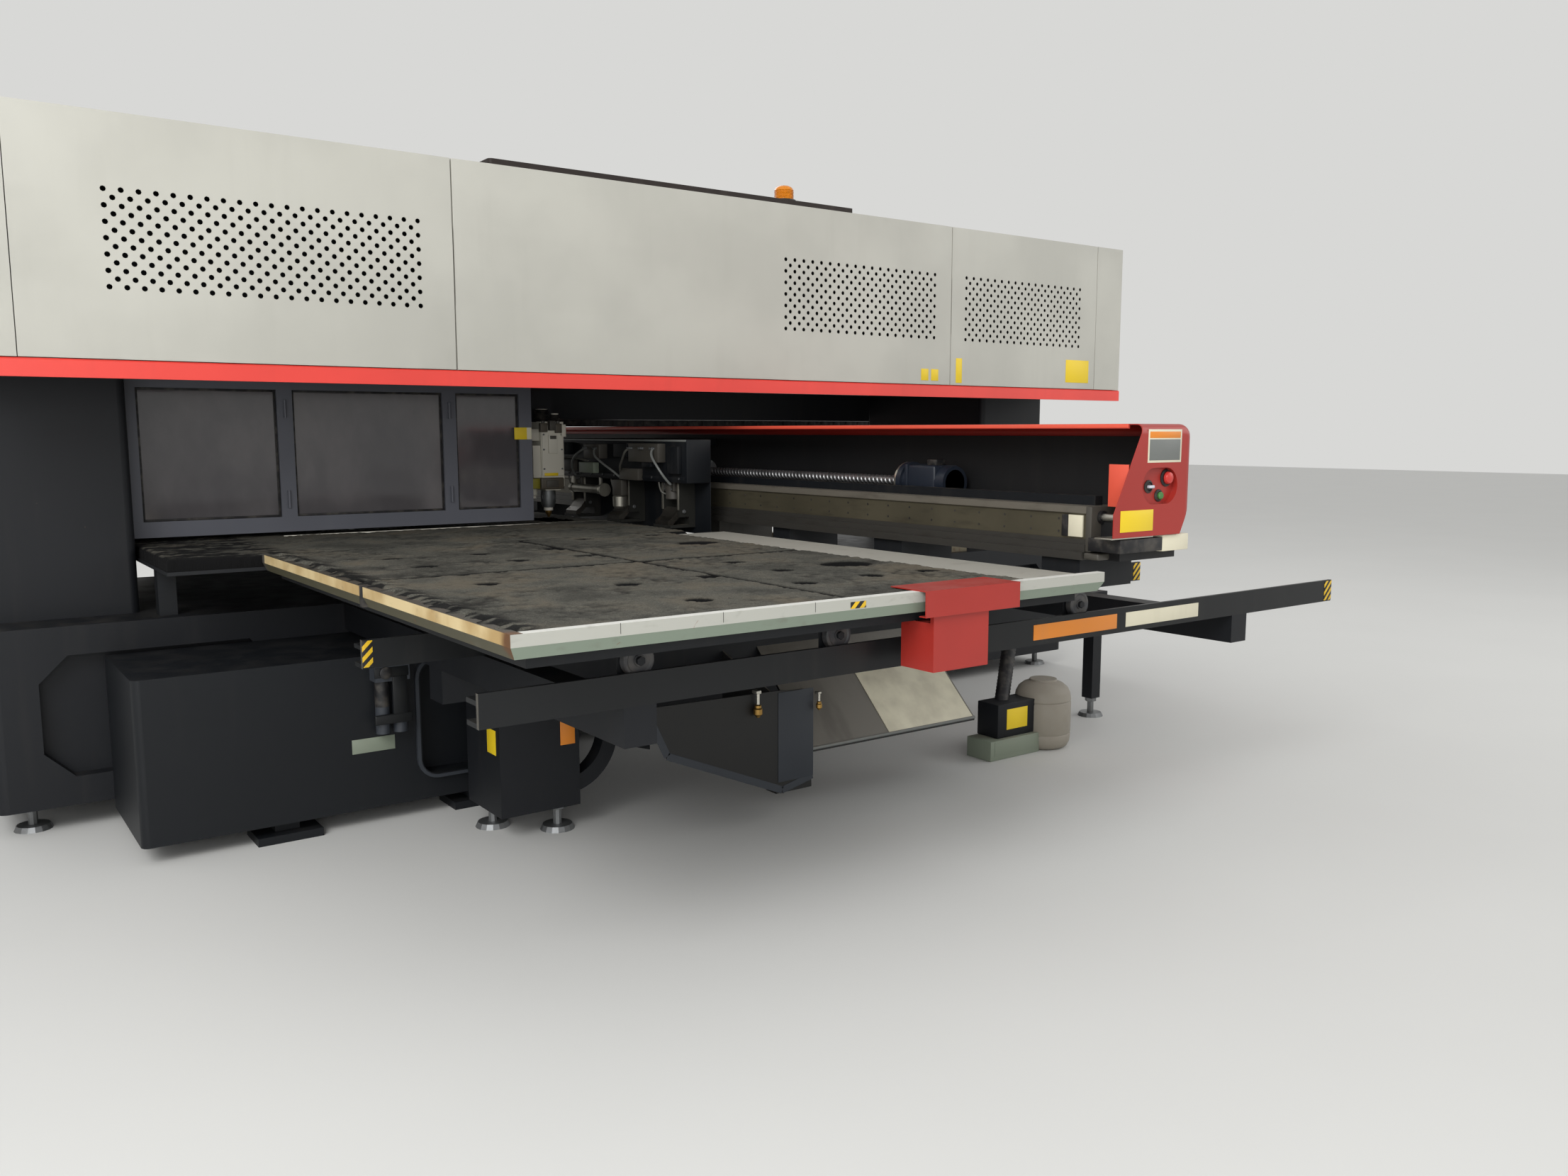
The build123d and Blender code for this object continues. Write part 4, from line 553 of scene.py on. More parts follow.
def turned(profile, steps=24):
    """A solid turned about Z from its (radius, height) profile."""
    shape = bmesh.new()
    points = [shape.verts.new((radius, 0, height)) for radius, height in profile]
    edges = [shape.edges.new(pair) for pair in zip(points[:-1], points[1:])]
    bmesh.ops.spin(
        shape, geom=points + edges, cent=(0, 0, 0), axis=(0, 0, 1), angle=2 * math.pi, steps=steps,
        use_merge=True,
    )
    bmesh.ops.remove_doubles(shape, verts=shape.verts, dist=1e-6)
    bmesh.ops.recalc_face_normals(shape, faces=shape.faces)
    return shape


def rod(radius, height, steps):
    """A plain round rod that stands on the origin."""
    return turned([(0, 0), (radius, 0), (radius, height), (0, height)], steps)


def prism(sides, radius, height, edge=0.0):
    """A solid with a regular outline, standing on the origin."""
    shape = bmesh.new()
    bmesh.ops.create_cone(
        shape, cap_ends=True, segments=sides, radius1=radius, radius2=radius, depth=height,
        matrix=Matrix.Translation((0, 0, height / 2)),
    )
    if edge:
        soften(shape, [e for e in shape.edges if all(v.co.z > height / 2 for v in e.verts)], edge, 1)
    return shape


def bolt(radius):
    """A hexagon bolt head on its washer."""
    shape = rod(radius * 1.5, radius * 0.25, 12)
    add(shape, prism(6, radius, radius * 0.85, radius * 0.15), spot((0, 0, radius * 0.2)))
    return shape


def spot(place, direction=(0, 0, 1)):
    """The place of a part, with its Z turned to a direction."""
    aim = Vector(direction).to_track_quat("Z", "Y").to_matrix().to_4x4()
    return Matrix.Translation(place) @ aim


def bolt_circle(centre, radius, facing, start=0.0):
    """The places of six bolts round an axis along Y."""
    turns = [math.pi / 3 * (number + start) for number in range(6)]
    x, y, z = centre
    return [
        spot((x + radius * math.cos(turn), y, z + radius * math.sin(turn)), (0, facing, 0)) for turn in turns
    ]


def add(shape, part, *places, coat=None):
    """Joins copies of a part to a shape, one at each place."""
    mesh = bpy.data.meshes.new("part")
    part.to_mesh(mesh)
    part.free()
    for place in places or (Matrix.Identity(4),):
        verts, faces = len(shape.verts), len(shape.faces)
        shape.from_mesh(mesh)
        shape.verts.ensure_lookup_table()
        shape.faces.ensure_lookup_table()
        bmesh.ops.transform(shape, matrix=place, verts=shape.verts[verts:])
        if coat is not None:
            for face in shape.faces[faces:]:
                face.material_index = coat
    bpy.data.meshes.remove(mesh)


def slabs(shape, *rows):
    """Adds blocks from their low corner, high corner, edge radius, finish and, if it isn't two, the number of
    segments in an edge."""
    for low, high, edge, coat, *segments in rows:
        low, high = Vector(low), Vector(high)
        block = rounded_block(high - low, edge, *segments)
        add(shape, block, Matrix.Translation((low + high) / 2), coat=coat)


def tube(points, radius):
    """A round tube along a smooth route."""
    curve = bpy.data.curves.new("route", "CURVE")
    curve.dimensions = "3D"
    spline = curve.splines.new("NURBS")
    spline.points.add(len(points) - 1)
    for point, place in zip(spline.points, points):
        point.co = (*place, 1)
    spline.order_u = 3
    spline.use_endpoint_u = True
    curve.resolution_u = 8
    curve.bevel_depth = radius
    curve.bevel_resolution = 2
    curve.use_fill_caps = True
    carrier = bpy.data.objects.new("route", curve)
    mesh = bpy.data.meshes.new_from_object(carrier)
    shape = bmesh.new()
    shape.from_mesh(mesh)
    bmesh.ops.remove_doubles(shape, verts=shape.verts, dist=1e-6)
    bmesh.ops.recalc_face_normals(shape, faces=shape.faces)
    bpy.data.objects.remove(carrier)
    bpy.data.curves.remove(curve)
    bpy.data.meshes.remove(mesh)
    return shape


def perforated_panel(low, high, first_hole, columns, rows, hole, pitch, fold):
    """A sheet-metal panel in the XZ plane that faces -Y, with staggered holes and folded edges.
    The lattice of holes is a grid turned by 45 degrees whose poked faces give each hole eight sides."""
    step = pitch / 2
    wide, tall = (columns - 1) * pitch, (rows - 1) * step
    shape = bmesh.new()
    cells = 2 * math.ceil((wide + tall + 4 * pitch) / pitch / 2)
    side = cells * step * math.sqrt(2)
    middle_row = (rows - 1) // 2
    centre = (
        first_hole[0] + step * (2 * (columns // 2) + middle_row % 2),
        first_hole[1] + step * middle_row,
    )
    turn = Matrix.Translation((centre[0], centre[1], 0)) @ Matrix.Rotation(math.pi / 4, 4, "Z")
    bmesh.ops.create_grid(shape, x_segments=cells, y_segments=cells, size=side / 2, matrix=turn)
    bmesh.ops.poke(shape, faces=shape.faces)
    field_low = (first_hole[0] - step, first_hole[1] - step)
    field_high = (first_hole[0] + wide + step, first_hole[1] + tall + step)
    for point, normal in (
        (field_low, (-1, 0, 0)), (field_low, (0, -1, 0)), (field_high, (1, 0, 0)), (field_high, (0, 1, 0)),
    ):
        cut_off(shape, (*point, 0), normal, 1e-5)
    holes = []
    for vert in shape.verts:
        column = (vert.co.x - first_hole[0]) / step
        row = (vert.co.y - first_hole[1]) / step
        on_lattice = abs(column - round(column)) < 0.01 and abs(row - round(row)) < 0.01
        inside = -0.5 < row < rows - 0.5 and -0.5 < column < 2 * columns - 1.5
        if on_lattice and inside and (round(column) + round(row)) % 2 == 0:
            holes.append(vert)
    centres = {(round(v.co.x, 4), round(v.co.y, 4)) for v in holes}
    soften(shape, holes, hole / 2, 1, "VERTICES")
    discs = []
    for face in shape.faces:
        middle = face.calc_center_median()
        if len(face.verts) == 8 and (round(middle.x, 4), round(middle.y, 4)) in centres:
            discs.append(face)
    bmesh.ops.delete(shape, geom=discs, context="FACES")
    bmesh.ops.remove_doubles(shape, verts=shape.verts, dist=1e-5)
    near = 1e-4

    def on_rim(vert):
        return (
            abs(vert.co.x - field_low[0]) < near or abs(vert.co.x - field_high[0]) < near
            or abs(vert.co.y - field_low[1]) < near or abs(vert.co.y - field_high[1]) < near
        )

    rim = [e for e in shape.edges if e.is_boundary and all(on_rim(v) for v in e.verts)]
    for reach in (0, 1):
        grown = bmesh.ops.extrude_edge_only(shape, edges=rim)["geom"]
        for vert in [g for g in grown if isinstance(g, bmesh.types.BMVert)]:
            if reach:
                vert.co.z = -fold
            else:
                for axis in (0, 1):
                    if abs(vert.co[axis] - field_low[axis]) < near:
                        vert.co[axis] = low[axis]
                    elif abs(vert.co[axis] - field_high[axis]) < near:
                        vert.co[axis] = high[axis]
        rim = [g for g in grown if isinstance(g, bmesh.types.BMEdge) and g.is_boundary]
        if not reach:
            corner_edges = list(rim)
    soften(shape, corner_edges, 2 * MM)
    bmesh.ops.recalc_face_normals(shape, faces=shape.faces)
    upward = max(shape.faces, key=lambda f: f.calc_area())
    if upward.normal.z < 0:
        bmesh.ops.reverse_faces(shape, faces=shape.faces)
    bmesh.ops.solidify(shape, geom=shape.faces[:], thickness=2.5 * MM)
    return shape


def lies_along(edge, axis):
    """Whether an edge runs along an axis."""
    run = (edge.verts[0].co - edge.verts[1].co).normalized()
    return abs(getattr(run, axis)) > 0.9


def panel_place(face_y, side):
    """Stands a panel made in the XY plane up, facing out at the housing's front or rear."""
    stand = Matrix.Rotation(math.pi / 2, 4, "X")
    if side > 0:
        stand = Matrix.Scale(-1, 4, (0, 1, 0)) @ stand
    return Matrix.Translation((0, face_y, 0)) @ stand


# Operators

class MACHINE_OT_stage(bpy.types.Operator):
    """Sets the pale floor, the soft light and the camera"""

    bl_idname = "machine.stage"
    bl_label = "Stage"
    bl_options = {"REGISTER", "UNDO"}

    FLOOR = 40
    LAMPS = (
        ("key", (-6.5, -6.0, 5.5), (-0.3, -1.5, 0.9), 4.0, 0.88),
        ("low front", (-4.2, -8.0, 1.7), (-0.3, -1.0, 1.1), 3.0, 0.2),
        ("fill", (7.0, -6.0, 4.5), (0.5, -1.0, 1.0), 5.0, 0.22),
        ("rear", (2.0, 8.0, 7.0), (0, 1.0, 1.0), 6.0, 0.5),
    )
    EYE = (-2.855, -5.400, 1.368)
    VIEW = (0.58875, 0.79801, -0.12868)

    def floor(self, settings):
        """A pale floor that reaches past what the camera sees."""
        tree, place = new_coat("sealed floor")
        tone = patches(tree, place, 900, 4, (0, 1), (0.97, 1.02), fade=None)
        shown = add_node(tree, "Mix", MULTIPLIED, {0: 1.0, 6: settings.floor, 7: tone})
        surface(tree, {"Base Color": shown, "Roughness": 0.8})
        shape = bmesh.new()
        bmesh.ops.create_grid(shape, x_segments=1, y_segments=1, size=self.FLOOR)
        mesh = bpy.data.meshes.new("stage_floor")
        shape.to_mesh(mesh)
        shape.free()
        mesh.materials.append(coats["sealed floor"])
        floor = placed("stage_floor", mesh)

    def sky(self, scene, settings):
        """Even light from all round, and pale surroundings for what the camera and the gloss see."""
        scene.world = bpy.data.worlds.new("soft light")
        scene.world.use_nodes = True
        tree = scene.world.node_tree
        tree.nodes.clear()
        path = add_node(tree, "LightPath").outputs
        looked = add_node(tree, "Math", LARGER, {0: path["Is Camera Ray"], 1: path["Is Glossy Ray"]})
        seen = add_node(tree, "Math", LARGER, {0: looked, 1: path["Is Transmission Ray"]})
        even = add_node(tree, "Background", inputs={"Color": (1, 1, 1, 1), "Strength": settings.sky})
        pale = add_node(tree, "Background", inputs={"Color": settings.backdrop, "Strength": 1.0})
        both = add_node(tree, "MixShader", inputs={0: seen, 1: even, 2: pale})
        add_node(tree, "OutputWorld", inputs={"Surface": both})

    def aim(self, thing, place, direction):
        """Puts a lamp or the camera at a place, with its view along a direction."""
        thing.location = place
        thing.rotation_euler = Vector(direction).to_track_quat("-Z", "Y").to_euler()

    def execute(self, context):
        scene, settings = context.scene, context.scene.machine_stage
        scene.view_settings.view_transform = "Standard"
        self.floor(settings)
        self.sky(scene, settings)
        for name, place, target, size, share in self.LAMPS:
            lamp = bpy.data.lights.new(name, "AREA")
            lamp.energy = settings.lamp * share
            lamp.size = size
            self.aim(placed(name, lamp), place, Vector(target) - Vector(place))
        camera = bpy.data.cameras.new("photo view")
        camera.lens = settings.lens
        camera.sensor_width = 36
        camera.clip_end = 200
        scene.camera = placed("photo view", camera)
        self.aim(scene.camera, self.EYE, self.VIEW)
        return {"FINISHED"}


class MACHINE_OT_finishes(bpy.types.Operator):
    """Makes the finishes and gives one to each part of the frame"""

    bl_idname = "machine.finishes"
    bl_label = "Finishes"
    bl_options = {"REGISTER", "UNDO"}

    def execute(self, context):
        make_coats(context.scene)
        for coat, names in NODE_COATS.items():
            for name in names.split():
                part = nodes[name]
                if not part.data.materials:
                    part.data.materials.append(coats[coat])
                for slot in part.material_slots:
                    slot.material = coats[coat]
        return {"FINISHED"}


class MACHINE_OT_housing(bpy.types.Operator):
    """Builds the perforated panels of the housing and the plates on them"""

    bl_idname = "machine.housing"
    bl_label = "Housing panels"
    bl_options = {"REGISTER", "UNDO"}

    FIELDS = {
        "front_panel_left": (-2.246, 21),
        "front_panel_centre": (0.407, 19),
        "front_panel_right": (1.521, 18),
    }
    ROWS = 13
    FIRST_ROW = 1.819
    PLATES = (
        ((2.273, 2.458), (1.626, 1.746)), ((1.457, 1.499), (1.605, 1.726)),
        ((1.290, 1.338), (1.612, 1.668)), ((1.224, 1.272), (1.612, 1.668)),
    )

    def panel(self, settings, node, side):
        """One panel with its field of holes, at the housing's front or rear."""
        low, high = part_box(node)
        first, columns = self.FIELDS[node]
        shape = perforated_panel(
            (low.x, low.z), (high.x, high.z), (first, self.FIRST_ROW), columns, self.ROWS,
            settings.hole, settings.pitch, high.y - low.y,
        )
        bmesh.ops.transform(shape, matrix=panel_place(side * abs(low.y), side), verts=shape.verts)
        if side > 0:
            bmesh.ops.reverse_faces(shape, faces=shape.faces)
        return shape

    def execute(self, context):
        settings = context.scene.machine_housing
        slot, paint = "housing_paint", "housing powder coat"
        for node in self.FIELDS:
            name = node.replace("front_panel", "housing_front")
            finish(name, self.panel(settings, node, -1), "machine_frame", paint, [node], smooth=50)
        rear = bmesh.new()
        for node in self.FIELDS:
            add(rear, self.panel(settings, node, 1))
        finish("housing_rear", rear, "machine_frame", paint, ["rear_panels"], smooth=50)
        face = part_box("front_panel_centre")[0].y
        plates = bmesh.new()
        for x, z in self.PLATES:
            slabs(plates, ((x[0], face - 1.2 * MM, z[0]), (x[1], face + 0.2 * MM, z[1]), 0.5 * MM, 0))
        finish("housing_plates", plates, "machine_frame", "yellow plate enamel")
        return {"FINISHED"}


class MACHINE_OT_beacon(bpy.types.Operator):
    """Builds the ribbed beacon lens on its socket"""

    bl_idname = "machine.beacon"
    bl_label = "Beacon"
    bl_options = {"REGISTER", "UNDO"}

    def execute(self, context):
        low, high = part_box("beacon_lens")
        radius, height = (high.x - low.x) / 2, high.z - low.z
        ribs = 7
        profile = [(0, 0), (radius * 0.96, 0)]
        straight = height * 0.68
        for rib in range(ribs):
            foot = straight * rib / ribs
            profile += [(radius * 0.93, foot + straight * 0.02), (radius * 0.985, foot + straight * 0.07)]
        for step in range(1, 7):
            turn = math.pi / 2 * step / 6
            profile.append((radius * 0.93 * math.cos(turn), straight + (height - straight) * math.sin(turn)))
        middle = Vector(((low.x + high.x) / 2, (low.y + high.y) / 2, low.z))
        shape = bmesh.new()
        add(shape, turned(profile, 48), Matrix.Translation(middle))
        finish(
            "beacon_dome", shape, "machine_frame", "clear amber plastic", ["beacon_lens"],
            smooth=30,
        )
        return {"FINISHED"}


class MACHINE_OT_guard(bpy.types.Operator):
    """Adds the gaskets, hinges, tags and foot strip of the smoky guards, and the curtain behind them"""

    bl_idname = "machine.guard"
    bl_label = "Guards"
    bl_options = {"REGISTER", "UNDO"}

    POSTS = (-2.120, -1.560, -0.882, -0.530)
    BAR = 0.060
    HINGES = (1.060, 1.420)
    FOOT_STRIP_START = -1.590
    TAGS = (-0.584, -0.524, -0.501)
    CURTAIN_STRIPS = 60
    CURTAIN_END = 2.600
    CURTAIN_FOOT = 1.3925

    def execute(self, context):
        low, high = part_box("guard_frames")
        shape = bmesh.new()
        wide, thick, deep = 9 * MM, 3 * MM, 15 * MM
        z0, z1 = low.z + self.BAR, high.z - self.BAR
        for face, outward in ((low.y, -1), (high.y, 1)):
            y0, y1 = sorted((face - outward * deep, face - outward * (deep - thick)))
            for left, right in zip(self.POSTS[:-1], self.POSTS[1:]):
                x0, x1 = left + self.BAR / 2, right - self.BAR / 2
                slabs(
                    shape,
                    ((x0, y0, z0), (x0 + wide, y1, z1), 1 * MM, 0),
                    ((x1 - wide, y0, z0), (x1, y1, z1), 1 * MM, 0),
                    ((x0 + wide, y0, z0), (x1 - wide, y1, z0 + wide), 1 * MM, 0),
                    ((x0 + wide, y0, z1 - wide), (x1 - wide, y1, z1), 1 * MM, 0),
                )
            for x in self.POSTS[1:3]:
                places = [spot((x, face + outward * 5 * MM, z)) for z in self.HINGES]
                add(shape, rod(6 * MM, 70 * MM, 16), *places, coat=1)
        finish(
            "guard_gaskets", shape, "machine_frame", ["gasket rubber", "guard enamel"]
        )
        table_low, table_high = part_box("fixed_brushes")
        strip = bmesh.new()
        foot = (self.FOOT_STRIP_START, low.y - 9 * MM, table_low.z)
        slabs(strip, (foot, (table_high.x, low.y - 1 * MM, table_high.z + 0.5 * MM), 1 * MM, 0))
        finish("guard_foot_strip", strip, "machine_frame", "bright turned steel")
        tags = bmesh.new()
        for coat, (left, right) in enumerate(zip(self.TAGS[:-1], self.TAGS[1:])):
            slabs(tags, ((left, low.y - 1.5 * MM, 1.330), (right, low.y + 1 * MM, 1.383), 0.5 * MM, coat))
        tag_coats = ["yellow plate enamel", "cream plate enamel"]
        finish("guard_tags", tags, "machine_frame", tag_coats)
        skirt_low, skirt_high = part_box("skirt_strips")
        curtain = bmesh.new()
        wide = (self.CURTAIN_END - high.x) / self.CURTAIN_STRIPS
        for number in range(self.CURTAIN_STRIPS):
            x = high.x + 5 * MM + number * wide
            y = skirt_high.y - 0.035 - 3 * MM * (number % 2)
            foot = (x - 2 * MM, y - 1.5 * MM, self.CURTAIN_FOOT)
            slabs(curtain, (foot, (x + wide + 1 * MM, y + 1.5 * MM, skirt_low.z + 0.012), 0.5 * MM, 0))
        finish("rear_curtain", curtain, "machine_frame", "gasket rubber")
        return {"FINISHED"}


# The size of a mat's clumps of bristles, the width of the looser row along its outer edge, and how far from
# its rim the pile falls away and by how much
CLUMP = 0.034
OUTER_ROW = 0.080
RIM = 0.014
RIM_FALL = 0.010


def clump_wave(place, edge, row):
    """How full a clump of the outer row stands at a place, from the gap beside it to its middle."""
    lean = (place.y + 0.5 * edge) / row
    return abs(math.sin(math.pi * lean + 1.1 * noise.noise(Vector((0, lean * 1.7, edge * 9)))))


def brush_mat(low, high, tuft, uneven, seed, cuts=(), slots=(), outer_row=0.0):
    """A brush mat from a grid at the level of the bristle tips: clumps at uneven heights, a pile that falls
    away towards the rim, round openings, and its sides drawn down to the table."""
    (left, near, foot), (right, far, top) = low, high
    shape = bmesh.new()
    across, along = right - left, far - near
    bmesh.ops.create_grid(shape, x_segments=round(across / tuft), y_segments=round(along / tuft), size=0.5)
    bmesh.ops.scale(shape, vec=(across, along, 1), verts=shape.verts)
    bmesh.ops.translate(shape, vec=((left + right) / 2, (near + far) / 2, top), verts=shape.verts)
    shift = Vector((seed * 3.1, seed * 1.7, 0))
    for x, y, radius in cuts:
        inside = [f for f in shape.faces if (f.calc_center_median().xy - Vector((x, y))).length < radius]
        bmesh.ops.delete(shape, geom=inside, context="FACES")
    for vert in shape.verts:
        place = vert.co + shift
        bundle = noise.voronoi(place / CLUMP)[0][0]
        worn = 0.75 + noise.noise(place * 5)
        strands = noise.noise(place * 95) * 0.30 + noise.noise(place * 48) * 0.25
        rim = min(vert.co.x - left, right - vert.co.x, vert.co.y - near, far - vert.co.y)
        fall = max(0.0, 1 - rim / RIM) ** 1.5 * RIM_FALL
        drop = uneven * min(1.0, max(0.0, 0.1 + bundle ** 1.5 * worn * 0.8 + strands)) + fall
        for x, y, half_x, half_y in slots:
            away = ((vert.co.x - x) / half_x) ** 2 + ((vert.co.y - y) / half_y) ** 2
            if away < 1.6:
                drop += 0.005 * (1.6 - away) + 0.030 * max(0.0, 1 - away) ** 0.4
        edge = vert.co.x - left
        if outer_row and edge < OUTER_ROW:
            wave = clump_wave(vert.co, edge, outer_row)
            share = 1 - edge / OUTER_ROW
            drop += 0.028 * share ** 0.5 * max(0.0, 1 - wave / 0.55) - 0.012 * share * wave
        vert.co.z -= drop
    for vert in shape.verts:
        rag = uneven * (0.5 + 0.5 * noise.noise((vert.co + shift) * 120))
        if abs(vert.co.x - left) < 1e-5 and outer_row:
            vert.co.x += rag * 0.5 - 0.025 * clump_wave(vert.co, 0, outer_row) ** 2
        elif abs(vert.co.x - left) < 1e-5:
            vert.co.x += rag
        elif abs(vert.co.x - right) < 1e-5:
            vert.co.x -= rag
        if abs(vert.co.y - near) < 1e-5:
            vert.co.y += rag
        elif abs(vert.co.y - far) < 1e-5:
            vert.co.y -= rag
    rim = [e for e in shape.edges if e.is_boundary]
    skirt = bmesh.ops.extrude_edge_only(shape, edges=rim)["geom"]
    for vert in [g for g in skirt if isinstance(g, bmesh.types.BMVert)]:
        vert.co.z = foot
        vert.co.x = max(vert.co.x, left)
    close(shape)
    bmesh.ops.recalc_face_normals(shape, faces=shape.faces)
    return shape


class MACHINE_OT_brushes(bpy.types.Operator):
    """Builds the tufted brush mats of the fixed and the travelling tables"""

    bl_idname = "machine.brushes"
    bl_label = "Brush mats"
    bl_options = {"REGISTER", "UNDO"}

    SEAM_X = -0.910
    SEAM_Y = -1.970
    HALF_SEAM_X = 4 * MM
    HALF_SEAM_Y = 12 * MM
    LARGE_HOLES = ((-0.396, -1.515, 0.078, 0.066), (-0.410, -2.420, 0.088, 0.070))
    SMALL_HOLES = (
        (-1.209, -1.701), (-1.537, -2.229), (-1.515, -1.697), (-0.938, -1.402), (-0.672, -1.121),
        (-1.224, -2.466), (-0.945, -2.443), (-0.962, -1.692), (-1.237, -2.849), (-0.545, -2.702),
        (-0.329, -2.713), (-0.816, -2.736), (-0.668, -2.168), (-1.521, -1.408), (-0.355, -1.120),
        (-1.229, -1.435), (-0.682, -2.444),
    )

    def execute(self, context):
        settings = context.scene.machine_tables
        holes = self.LARGE_HOLES + tuple((x, y, 0.034, 0.034) for x, y in self.SMALL_HOLES)
        for word, side in (("front", 1), ("rear", -1)):
            low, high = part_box(f"{word}_brushes")
            near, far = (low.y, high.y) if side > 0 else (-high.y, -low.y)
            shape = bmesh.new()
            number = 0
            for x in ((low.x, self.SEAM_X - self.HALF_SEAM_X), (self.SEAM_X + self.HALF_SEAM_X, high.x)):
                for y in ((near, self.SEAM_Y - self.HALF_SEAM_Y), (self.SEAM_Y + self.HALF_SEAM_Y, far)):
                    number += 1
                    mat = brush_mat(
                        (x[0], y[0], low.z), (x[1], y[1], high.z), settings.tuft, settings.tuft_depth,
                        number + 5 * side, slots=holes, outer_row=settings.tuft_row if number < 3 else 0.0,
                    )
                    add(shape, mat)
            if side < 0:
                bmesh.ops.scale(shape, vec=(1, -1, 1), verts=shape.verts)
                bmesh.ops.reverse_faces(shape, faces=shape.faces)
            name = f"{word}_brush_mats"
            finish(name, shape, "feed_beam", "brush nylon", [f"{word}_brushes"], smooth=80)
        low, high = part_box("fixed_brushes")
        turret_low, turret_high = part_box("lower_turret")
        middle = (turret_low + turret_high) / 2
        opening = (turret_high.x - turret_low.x) / 2 + 15 * MM
        head_low, head_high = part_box("laser_nozzle")
        nozzle = (head_low + head_high) / 2
        mat = brush_mat(
            low, high, settings.tuft, settings.tuft_depth, 3, cuts=((middle.x, middle.y, opening),)
        )
        slot_faces = []
        for face in mat.faces:
            place = face.calc_center_median()
            near = abs(place.x - nozzle.x) < 0.075 and abs(place.y - nozzle.y) < 0.130
            if near and abs(face.normal.z) > 0.4:
                slot_faces.append(face)
        bmesh.ops.delete(mat, geom=slot_faces, context="FACES")
        finish(
            "fixed_brush_mat", mat, "machine_frame", "brush nylon", ["fixed_brushes"],
            smooth=80,
        )
        return {"FINISHED"}


class MACHINE_OT_screw(bpy.types.Operator):
    """Builds the ball screw's two-start thread, the rings of its bearings and the case of its motor"""

    bl_idname = "machine.screw"
    bl_label = "Ball screw"
    bl_options = {"REGISTER", "UNDO"}

    LEAD = 0.050
    STARTS = 2
    STEPS = 14
    RING = (
        (0.058, 0), (0.0745, 0), (0.0745, 0.010), (0.070, 0.016), (0.060, 0.016), (0.058, 0.012), (0.058, 0),
    )
    DISC = ((0.024, 0), (0.0575, 0), (0.0575, 0.006), (0.028, 0.006), (0.024, 0.009), (0.024, 0))
    MOTOR_BACK = (
        (0, -0.002), (0.050, -0.002), (0.058, -0.006), (0.060, -0.016), (0.060, -0.040), (0, -0.040),
    )

    def execute(self, context):
        low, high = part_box("ball_screw")
        radius = (high.z - low.z) / 2
        centre = Vector(((low.x + high.x) / 2, 0, (low.z + high.z) / 2))
        shape = bmesh.new()
        points = []
        ridge = self.LEAD / self.STARTS
        for start in range(self.STARTS):
            for along, reach in ((0.0, 1.0), (0.45, 1.0), (0.60, 0.86), (0.85, 0.86)):
                place = (radius * reach, low.y - self.LEAD + (start + along) * ridge, 0)
                points.append(shape.verts.new(place))
        points.append(shape.verts.new((radius, low.y, 0)))
        edges = [shape.edges.new(pair) for pair in zip(points[:-1], points[1:])]
        turns = math.ceil((high.y - low.y) / self.LEAD) + 2
        bmesh.ops.spin(
            shape, geom=points + edges, cent=(0, 0, 0), axis=(0, 1, 0), angle=2 * math.pi * turns,
            steps=turns * self.STEPS, dvec=(0, self.LEAD / self.STEPS, 0), use_merge=False,
        )
        bmesh.ops.remove_doubles(shape, verts=shape.verts, dist=1e-5)
        for y, normal in ((low.y, -1), (high.y, 1)):
            cut_off(shape, (0, y, 0), (0, normal, 0))
        close(shape)
        bmesh.ops.translate(shape, vec=centre, verts=shape.verts)
        finish(
            "screw_thread", shape, "screw", "rolled screw steel", ["ball_screw"], outward=True,
            smooth=30,
        )
        rings = bmesh.new()
        for y, outward in ((low.y + 25 * MM, 1), (high.y - 25 * MM, -1)):
            place = spot((centre.x, y, centre.z), (0, outward, 0))
            add(rings, turned(self.RING, 48), place, coat=0)
            add(rings, turned(self.DISC, 40), place, coat=1)
            heads = bolt_circle((centre.x, y + outward * 0.006, centre.z), 0.045, outward, 0.5)
            add(rings, bolt(4.5 * MM), *heads, coat=2)
        finish(
            "screw_bearing_rings", rings, "feed_beam",
            ["bright turned steel", "motor enamel", "zinc-plated steel"], outward=True,
        )
        case = bmesh.new()
        rear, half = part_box("screw_supports")[0].y, 0.0655
        wide = half + 3 * MM
        x, z = centre.x, centre.z
        slabs(
            case,
            ((x - half, rear + 0.045, z - half), (x + half, low.y - 0.035, z + half), 9 * MM, 0, 3),
            ((x - wide, low.y - 0.036, z - wide), (x + wide, low.y - 0.020, z + wide), 3 * MM, 0),
            ((x - 0.030, rear + 0.070, z + half - 1 * MM), (x + 0.020, rear + 0.125, z + half + 0.022),
             4 * MM, 1),
        )
        add(case, turned(self.MOTOR_BACK, 40), spot((x, rear - 2 * MM, z), (0, -1, 0)), coat=0)
        finish(
            "screw_motor_case", case, "feed_beam", ["motor enamel", "black polyamide"],
            outward=True,
        )
        return {"FINISHED"}


